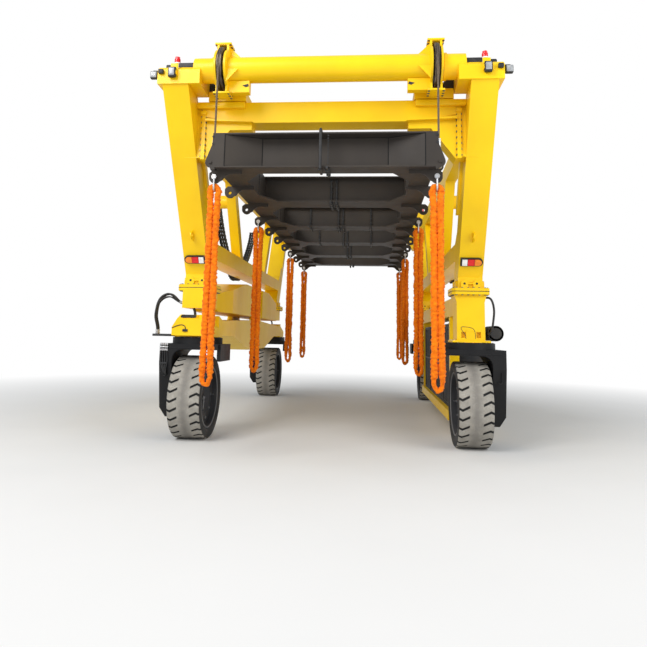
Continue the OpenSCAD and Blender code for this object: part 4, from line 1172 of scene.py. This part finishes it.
@dataclass
class HeadLights(Trim):
    """Beacon, floodlight, grip pad and small boxes on each head box."""

    front: float = 5.2811
    top: float = 5.47

    def build(self) -> None:
        """Makes the lights of the four head boxes."""
        red, white, black, glass, plates = (bmesh.new() for _ in range(5))
        for side, end in CORNERS:
            for mesh, low, high, radius in ((white, 5.475, 5.555, 0.033), (white, 5.545, 5.56, 0.043),
                                            (red, 5.558, 5.62, 0.040), (red, 5.62, 5.648, 0.034)):
                add_rod(mesh, at(side, end, 2.205, 5.17, low), at(side, end, 2.205, 5.17, high), radius, 28)
            for k in range(4):
                add_rod(red, at(side, end, 2.205, 5.17, 5.568 + k * 0.013), at(side, end, 2.205, 5.17, 5.574 + k * 0.013),
                        0.0425, 28)
            self.box(black, side, end, (1.90, 5.00, self.top), (2.165, 5.21, 5.548), 0.012)
            self.box(black, side, end, (2.255, 5.06, self.top), (2.37, 5.19, 5.535), 0.02)
            self.box(plates, side, end, (2.15, self.front, 5.37), (2.26, self.front + 0.012, 5.50), 0.004)
            self.box(black, side, end, (2.165, self.front + 0.012, 5.275), (2.275, self.front + 0.075, 5.425), 0.014)
            self.box(glass, side, end, (2.180, self.front + 0.074, 5.295), (2.260, self.front + 0.083, 5.405), 0.006)
            for x in (2.158, 2.275):
                self.box(plates, side, end, (x, self.front, 5.32), (x + 0.008, self.front + 0.06, 5.38), 0.002)
            self.box(black, side, end, (2.355, self.front, 5.34), (2.43, self.front + 0.05, 5.405), 0.01)
            self.box(black, side, end, (2.47, self.front - 0.10, 5.30), (2.575, self.front - 0.03, 5.41), 0.012)
            self.box(glass, side, end, (2.478, self.front - 0.032, 5.31), (2.567, self.front - 0.022, 5.40), 0.008)
            self.box(black, side, end, (2.445, self.front - 0.09, 5.40), (2.54, self.front - 0.05, 5.425), 0.006)
        for mesh, name, look, slot in (
                (red, "beacons", self.finishes.red, "lamp_plastic"), (white, "beacon_feet", self.finishes.clear, "lamp_plastic"),
                (glass, "floodlight_lenses", self.finishes.glass, "lamp_plastic"),
                (black, "head_box_pads", self.finishes.rubber, "black_rubber"),
                (plates, "lamp_brackets", self.finishes.yellow, "yellow_paint")):
            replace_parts(finished(mesh, name, look, "frame"), "work_lights")


@dataclass
class CableChains(Trim):
    """Cable chains of linked frames that sag along the outer sides from drum to drum."""

    inner: float = 2.3803
    width: float = 0.13
    height: float = 0.12
    pitch: float = 0.105
    arm: tuple[tuple[float, float], ...] = (
        (1.753, 4.25), (1.623, 4.02), (1.303, 3.67), (0.953, 3.40), (0.673, 3.22), (0.453, 3.03), (0.173, 2.92))

    def link(self) -> Stamp:
        """Returns one link: two oval side plates, two cross bars and the cables between them."""
        mesh = bmesh.new()
        half = self.pitch / 2
        for x in (0.0, self.width - 0.012):
            outline = [(x, (half + 0.004) * math.cos(a) * 1.12, self.height / 2 * math.sin(a)) for a in
                       (math.tau * k / 16 for k in range(16))]
            add_prism(mesh, [(p[0], max(-half - 0.004, min(half + 0.004, p[1])), p[2]) for p in outline], (0.012, 0, 0))
            add_rod(mesh, (x - 0.004, -half * 0.72, 0), (x + 0.016, -half * 0.72, 0), 0.013, 12)
        for z in (-self.height / 2 + 0.006, self.height / 2 - 0.016):
            add_box(mesh, (0.005, -0.016, z), (self.width - 0.005, 0.016, z + 0.010), 0.002)
        for x, r in ((0.026, 0.012), (0.062, 0.018), (0.100, 0.014)):
            add_rod(mesh, (x, -half - 0.006, 0), (x, half + 0.006, 0), r, 10)
        return Stamp(mesh)

    def build(self) -> None:
        """Makes the chains of both sides."""
        stamp = self.link()
        points = [Vector((0, -y, z)) for y, z in self.arm] + [Vector((0, y, z)) for y, z in reversed(self.arm)]
        route = smooth_route(points, self.pitch)
        for side in Side:
            mesh = bmesh.new()
            places = []
            for before, after in zip(route, route[1:]):
                run = (after - before).normalized()
                turn = Matrix(((1, 0, 0), run, Vector((1, 0, 0)).cross(run))).transposed().to_4x4()
                turn.translation = (before + after) / 2 + Vector((self.inner, 0, 0))
                places.append(turn)
            stamp.press(mesh, places)
            if side is Side.LEFT:
                bmesh.ops.scale(mesh, vec=(-1, 1, 1), verts=mesh.verts)
            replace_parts(finished(mesh, f"cable_chain_{side.name.lower()}", self.finishes.rubber, "frame"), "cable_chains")


@dataclass
class WheelTrim(Trim):
    """Rim flange rings, hub nuts and the short lever beside each hub."""

    rim_r: float = 0.48

    def build(self) -> None:
        """Makes the trim of the four wheels."""
        for side, end in CORNERS:
            name = corner_name(side, end)
            middle = at(side, end, WHEEL_X, WHEEL_Y, TYRE_R)
            inward = Vector((-side.value, 0, 0))
            ring = bmesh.new()
            for offset, radius, thick in ((0.234, self.rim_r - 0.004, 0.011), (0.064, 0.118, 0.008)):
                hoop = [middle + inward * offset + Vector((0, radius * math.cos(a), radius * math.sin(a)))
                        for a in (math.tau * k / 72 for k in range(73))]
                sweep(ring, hoop, lambda s, t=thick: t, 10, up=(1, 0, 0))
            finished(ring, f"rim_rings_{name}", self.finishes.rim_edge, f"{name}_wheel", 60)
            nuts = bmesh.new()
            for radius, count, offset, size in ((0.36, 10, 0.150, 0.017), (0.094, 8, 0.060, 0.010)):
                spots = [middle + inward * offset + Vector((0, radius * math.cos(a), radius * math.sin(a)))
                         for a in (math.tau * k / count for k in range(count))]
                self.bolts(nuts, spots, inward, size)
            valve = middle + inward * 0.15
            add_rod(nuts, valve + Vector((0, 0.40, 0)), valve + inward * 0.05 + Vector((0, 0.385, 0)), 0.007, 10)
            finished(nuts, f"hub_nuts_{name}", self.finishes.rim_edge, f"{name}_wheel")
            lever = bmesh.new()
            add_rod(lever, middle + inward * 0.119 + Vector((0, 0, -0.02)), middle + inward * 0.150 + Vector((0, 0.02, -0.03)),
                    0.028, 16)
            add_rod(lever, middle + inward * 0.14 + Vector((0, 0.02, -0.03)), middle + inward * 0.15 + Vector((0, -0.05, -0.20)),
                    0.012, 12)
            finished(lever, f"hub_lever_{name}", self.finishes.rim_edge, f"{name}_steering")


@dataclass
class ForkTrim(Trim):
    """Bolts of the slewing rings, hooks on the fork legs and the lines on the left front fork."""

    face: float = 0.402

    def build(self) -> None:
        """Makes the trim of the four forks."""
        for side, end in CORNERS:
            name = corner_name(side, end)
            middle = at(side, end, WHEEL_X, WHEEL_Y, 0)
            heads, hooks = bmesh.new(), bmesh.new()
            spots = [middle + Vector((0.365 * math.cos(a), 0.365 * math.sin(a), 1.59))
                     for a in (math.tau * k / 20 for k in range(20))]
            self.bolts(heads, spots, (0, 0, 1), 0.012)
            for face in (-1, 1):
                y = end.value * WHEEL_Y + face * self.face
                rod = [Vector((middle.x + side.value * 0.42, y + face * 0.004, z)) for z in (1.16, 1.08, 1.03)]
                rod += [Vector((middle.x + side.value * x, y + face * 0.004, z)) for x, z in ((0.405, 1.00), (0.38, 0.99),
                                                                                           (0.36, 1.01))]
                sweep(hooks, smooth_route(rod, 0.02), lambda s: 0.008, 8, up=(0, 1, 0))
                self.box(hooks, side, end, (WHEEL_X - 0.40, WHEEL_Y + face * self.face * end.value - 0.004, 1.415),
                         (WHEEL_X + 0.45, WHEEL_Y + face * self.face * end.value + 0.004, 1.43), 0.002)
            finished(heads, f"ring_bolts_{name}", self.finishes.worn_bolt, f"{name}_steering")
            finished(hooks, f"fork_hooks_{name}", self.finishes.black, f"{name}_steering")
        self.lines()

    def lines(self) -> None:
        """Makes the rigid lines with their fittings down the left front fork's outer corner."""
        pipes, ends = bmesh.new(), bmesh.new()
        for k in range(4):
            x, y = -2.655 + k * 0.032, -3.915
            route = [Vector((x, y, 1.50)), Vector((x, y, 1.40)), Vector((x + 0.004 * k, y, 1.22)),
                     Vector((-2.60 + k * 0.012, y, 1.06)), Vector((-2.59 + k * 0.012, y + 0.03, 1.00))]
            sweep(pipes, smooth_route(route, 0.03), lambda s: 0.0085, 10)
            for z, r in ((1.50, 0.016), (1.455, 0.012), (1.41, 0.015)):
                add_rod(ends, (x, y, z - 0.03), (x, y, z), r, 6)
        add_box(ends, (-2.675, -3.93, 1.432), (-2.54, -3.902, 1.446), 0.002)
        add_box(pipes, (-2.67, -3.93, 1.17), (-2.55, -3.902, 1.20), 0.004)
        finished(pipes, "fork_lines", self.finishes.rubber, "left_front_steering", 60)
        finished(ends, "fork_fittings", self.finishes.steel, "left_front_steering")


@dataclass
class RockerTrim(Trim):
    """Hose fittings, the rubber stop between the beams, the black seal round each ring and the pin's plates."""

    def build(self) -> None:
        """Makes the trim of the equaliser and of the rocker beam."""
        fixed, moving, seals, steps = (bmesh.new() for _ in range(4))
        for index in range(4):
            share = 1.0 if index % 2 == 0 else 0.62
            across = index * 0.03
            for low, radius in ((0.0, 0.026), (0.025, 0.021), (0.047, 0.024)):
                add_rod(moving, (-2.77, -3.76 - across, 1.6405 + low), (-2.77, -3.76 - across, 1.6625 + low),
                        radius * share, 6)
                add_rod(fixed, (-2.3905 - low * 0.8, -3.66 - across, 2.150), (-2.4085 - low * 0.8, -3.66 - across, 2.150),
                        radius * share, 6)
        for side, end in CORNERS:
            body_mesh = seals if side is Side.LEFT else steps
            middle = at(side, end, WHEEL_X, WHEEL_Y, 0)
            half = 0.317 if side is Side.LEFT else 0.293
            low = 1.602 if side is Side.LEFT else 1.597
            hoop = [middle + Vector((0.335 * math.cos(a), 0.335 * math.sin(a), 0)) for a in
                    (math.tau * k / 48 for k in range(48))]
            add_prism(body_mesh, [p + Vector((0, 0, 1.585)) for p in hoop], (0, 0, 0.014))
            self.bolts(fixed if side is Side.RIGHT else moving,
                       [middle + Vector((s * (half - 0.03), t * (half - 0.05), low + 0.029)) for s in (-1, 1)
                        for t in (-1, -0.33, 0.33, 1)], (0, 0, 1), 0.013)
        add_box(seals, (-2.815, -3.905, 1.604), (-2.485, -3.695, 1.6405), 0.006)
        # Painted shade: a thin black sheet stands in for the shade in a recess.
        recess_shade = [Vector((-2.36 + 0.25 * s, -3.95 + 0.06 * t, 1.89 + 0.06 * t))
                  for s, t in ((0.06, 0.1), (0.0, 0.3), (0.0, 0.7), (0.06, 0.9), (0.94, 0.9), (1.0, 0.7), (1.0, 0.3), (0.94, 0.1))]
        add_prism(seals, recess_shade, (0, -0.003, 0.003))
        loop = [(-2.485, -3.954, 1.735), (-2.42, -3.958, 1.765), (-2.33, -3.958, 1.785), (-2.275, -3.956, 1.76),
                (-2.265, -3.955, 1.72)]
        sweep(seals, smooth_route([Vector(p) for p in loop], 0.012), lambda s: 0.006, 8)
        add_box(seals, (-2.31, -3.972, 1.68), (-2.23, -3.9505, 1.72), 0.005)
        for x in (-2.19 - 0.326, -2.19 + 0.326):
            out = -1 if x < -2.19 else 1
            spots = [(x, 0.055 * math.cos(a), 2.40 + 0.055 * math.sin(a)) for a in (math.tau * k / 4 for k in range(4))]
            self.bolts(moving, spots, (out, 0, 0), 0.012)
        finished(fixed, "equaliser_fittings", self.finishes.steel, "frame")
        finished(moving, "rocker_fittings", self.finishes.steel, "rocker")
        finished(seals, "left_ring_seals", self.finishes.rubber, "rocker")
        finished(steps, "right_ring_seals", self.finishes.rubber, "frame")
        for end in End:
            link = bmesh.new()
            start, finish = Vector((-2.22, end.value * 3.72, 2.0595)), Vector((-2.19, end.value * 3.72, 1.9505))
            sweep(link, smooth_route([start, start.lerp(finish, 0.5) + Vector((0.006, 0, 0)), finish], 0.01),
                  lambda s: 0.021, 14)
            piece = finished(link, f"level_link_{end.name.lower()}", self.finishes.rubber, None, 60)
            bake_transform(piece)


@dataclass
class LiftFrameTrim(Trim):
    """Pipes in clamps under the lifting frame's beams, and near-black lines of painted shade along the bends and edges
    of its end beams and on its edge bars.
    """

    under: float = 3.87

    def build(self) -> None:
        """Makes the lifting frame's trim."""
        pipes, clamps, seams = bmesh.new(), bmesh.new(), bmesh.new()
        beams = [(-5.57, -5.24), (-3.54, -3.06), (-1.29, -0.81), (0.81, 1.29), (3.06, 3.54), (5.24, 5.57)]
        for index, (first, last) in enumerate(beams):
            for x in (-0.04, 0.05) if index in (1, 2, 3, 4) else (0.05,):
                add_rod(pipes, (x, first - 0.06, self.under - 0.022), (x, last + 0.06, self.under - 0.022), 0.018, 12)
                for y in (first + 0.05, (first + last) / 2, last - 0.05):
                    add_box(clamps, (x - 0.03, y - 0.016, self.under - 0.046), (x + 0.03, y + 0.016, self.under - 0.001),
                            0.004)
            if index in (2, 3):
                for x in (-0.62, 0.62):
                    add_rod(pipes, (x, first - 0.05, self.under - 0.020), (x, last + 0.05, self.under - 0.020), 0.014, 12)
                    for y in (first + 0.06, last - 0.06):
                        add_box(clamps, (x - 0.022, y - 0.012, self.under - 0.038), (x + 0.022, y + 0.012, self.under - 0.001),
                                0.003)
            if 0 < index < 5:
                web = (first + last) / 2 - 0.12
                for x in (-0.04, 0.05, -0.62, 0.62) if index in (2, 3) else (-0.04, 0.05):
                    add_rod(pipes, (x, web - 0.022, 3.895), (x, web - 0.022, 4.27), 0.016, 12)
                    for z in (3.95, 4.04, 4.13, 4.22):
                        add_box(clamps, (x - 0.024, web - 0.044, z), (x + 0.024, web - 0.001, z + 0.02), 0.004)
        for end in End:
            # Painted shade: near-black rods down the end beams' bends, and below along their top and bottom edges.
            for s in (-1, 1):
                for x, y in ((0.86, 5.3805), (1.34, 5.5705)):
                    add_rod(seams, (s * x, end.value * y, 3.89), (s * x, end.value * y, 4.33), 0.006, 8)
            for z in (3.8905, 4.3295):
                run = [Vector((-1.34, end.value * 5.5705, z)), Vector((-0.86, end.value * 5.3805, z)),
                       Vector((0.86, end.value * 5.3805, z)), Vector((1.34, end.value * 5.5705, z))]
                for a, b in zip(run, run[1:]):
                    add_rod(seams, a, b, 0.006, 8)
            for k in range(11):
                spot = (0.06 + k * 0.0, end.value * 5.573, 3.92 + k * 0.038)
                self.bolts(clamps, [spot], (0, end.value, 0), 0.008)
        # Painted shade: near-black lines down the edge bars.
        for s in (-1, 1):
            for first, last in ((-5.24, -3.54), (-3.06, -1.29), (-0.81, 0.81), (1.29, 3.06), (3.54, 5.24)):
                for y in (first + 0.45, last - 0.45):
                    add_rod(seams, (s * 1.17, y, 3.889), (s * 1.169, y, 4.30), 0.005, 8)
        for side, end in CORNERS:
            for y in (5.27, 5.5425):
                spots = [at(side, end, 1.47 + dx, y + 0.028, z) for dx, z in ((0.03, 4.30), (0.03, 4.20))]
                self.bolts(clamps, spots, (0, end.value, 0), 0.012)
        finished(pipes, "frame_underside_pipes", self.finishes.rubber, "lifting_frame")
        finished(clamps, "frame_pipe_clamps", self.finishes.machine, "lifting_frame")
        finished(seams, "frame_shade_lines", self.finishes.seam, "lifting_frame")


@dataclass
class PackTrim(Trim):
    """Doors, handles, grille frame, filter ribs, exhaust and pipes of the power pack."""

    inner: float = 2.05
    outer: float = 2.61

    def build(self) -> None:
        """Makes the power pack's trim."""
        dark, metal, rubber = bmesh.new(), bmesh.new(), bmesh.new()
        for k in range(8):
            y0, y1 = -2.44 + k * 0.61, -1.86 + k * 0.61
            add_box(dark, (self.outer, y0, 0.50), (self.outer + 0.018, y1, 1.80), 0.006)
            add_box(metal, (self.outer + 0.018, y1 - 0.09, 1.10), (self.outer + 0.034, y1 - 0.05, 1.24), 0.005)
            for z in (0.68, 1.62):
                add_rod(metal, (self.outer + 0.018, y0 + 0.012, z), (self.outer + 0.018, y0 + 0.012, z + 0.09), 0.010, 12)
            if k % 2:
                for j in range(9):
                    z = 0.62 + j * 0.042
                    add_box(dark, (self.outer + 0.016, y0 + 0.08, z), (self.outer + 0.028, y1 - 0.12, z + 0.022), 0.004)
        for y in (-2.48, -1.24, 0.0, 1.24, 2.48):
            add_box(dark, (self.inner - 0.014, y - 0.025, 0.44), (self.inner + 0.004, y + 0.025, 1.92), 0.004)
        for z in (0.44, 1.16, 1.88):
            add_box(dark, (self.inner - 0.012, -2.48, z), (self.inner + 0.004, 2.48, z + 0.04), 0.004)
        self.gear(dark, metal, rubber)
        for end in End:
            out = end.value
            hose = [Vector((2.41, out * 3.66, 2.30)), Vector((2.50, out * 3.70, 2.28)), Vector((2.545, out * 3.72, 2.12)),
                    Vector((2.53, out * 3.72, 1.92)), Vector((2.505, out * 3.70, 1.78)), Vector((2.47, out * 3.66, 1.72))]
            sweep(rubber, smooth_route(hose, 0.025), lambda s: 0.017, 12)
            face = 3.80 + 0.004
            loop = [(2.10, 1.655), (2.085, 1.72), (2.035, 1.79), (2.03, 1.83), (2.10, 1.835), (2.20, 1.815), (2.235, 1.76),
                    (2.24, 1.655)]
            sweep(rubber, smooth_route([Vector((x, out * face, z)) for x, z in loop], 0.012), lambda s: 0.0045, 8)
        finished(dark, "power_pack_doors", self.finishes.machine, "frame")
        finished(metal, "power_pack_handles", self.finishes.worn_bolt, "frame")
        finished(rubber, "power_pack_hoses", self.finishes.rubber, "frame")

    def gear(self, dark: bmesh.types.BMesh, metal: bmesh.types.BMesh, rubber: bmesh.types.BMesh) -> None:
        """Adds the ribs of the air filter, its elbow, the exhaust and the small pumps beside it."""
        radius = 0.126
        x, z = self.outer + 0.063 + radius, 1.88 - radius
        for y in (-2.574, -2.42, -2.26, -2.10, -1.94):
            add_rod(dark, (x, y, z), (x, y + 0.022, z), radius + 0.009, 32)
        add_rod(dark, (x, -2.60, z), (x, -2.574, z), radius - 0.03, 28)
        elbow = [Vector((x, -1.914, z)), Vector((x, -1.80, z)), Vector((x - 0.03, -1.70, z + 0.05)),
                 Vector((x - 0.12, -1.64, z + 0.11)), Vector((x - 0.24, -1.60, z + 0.14))]
        sweep(rubber, smooth_route(elbow, 0.03), lambda s: 0.052, 18, up=(0, 0, 1))
        add_rod(metal, (2.50, -1.95, 1.88), (2.50, -1.95, 2.02), 0.045, 24)
        add_rod(dark, (2.50, -1.95, 1.96), (2.50, -1.95, 2.10), 0.07, 28, 0.055)
        for y, r in ((-2.35, 0.035), (-2.22, 0.028), (-2.12, 0.022)):
            add_rod(metal, (2.46, y, 1.86), (2.46, y, 1.98), r, 18)
            add_rod(rubber, (2.46, y, 1.975), (2.46, y, 2.0), r * 0.8, 18)
        for k in range(6):
            y = -0.30 + k * 0.26
            add_rod(dark, (2.52, y, 1.95), (2.52, y + 0.02, 1.95), 0.080, 24)


def dress_nodes(finishes: Finishes) -> None:
    """Gives every carried-over node its finish.

    Args:
        finishes: The crane's finishes.
    """
    by_slot = {
        "yellow_paint": finishes.yellow, "black_paint": finishes.black, "frame_paint": finishes.dark,
        "rim_paint": finishes.rim, "rope_steel": finishes.sheave, "bare_steel": finishes.steel,
        "sling_fabric": finishes.fabric, "black_rubber": finishes.rubber, "grey_machine": finishes.machine,
        "lamp_plastic": finishes.red,
    }
    for part in frame["record"]["subparts"]:
        node, slot = part["node"], part["material_slot"]
        if slot == "tyre_rubber":
            dress(node, finishes.tyres[node.removesuffix("_tyre")])
        else:
            dress(node, by_slot[slot])


def main() -> None:
    """Builds the scene: studio, cords, finishes and fine pieces."""
    logging.basicConfig(level=logging.INFO, format="%(message)s")
    Studio().build()
    finishes = Finishes()
    dress_nodes(finishes)
    Slings(finishes).build()
    HoistRopes(finishes).build()
    SteeringHoses(finishes).build()
    bolt = bolt_stamp()
    for trim in (FootJoints, BeamTrim, TailLamps, HeadLights, CableChains, WheelTrim, ForkTrim, RockerTrim,
                 LiftFrameTrim, PackTrim):
        trim(finishes, bolt).build()


if __name__ == "__main__":
    main()
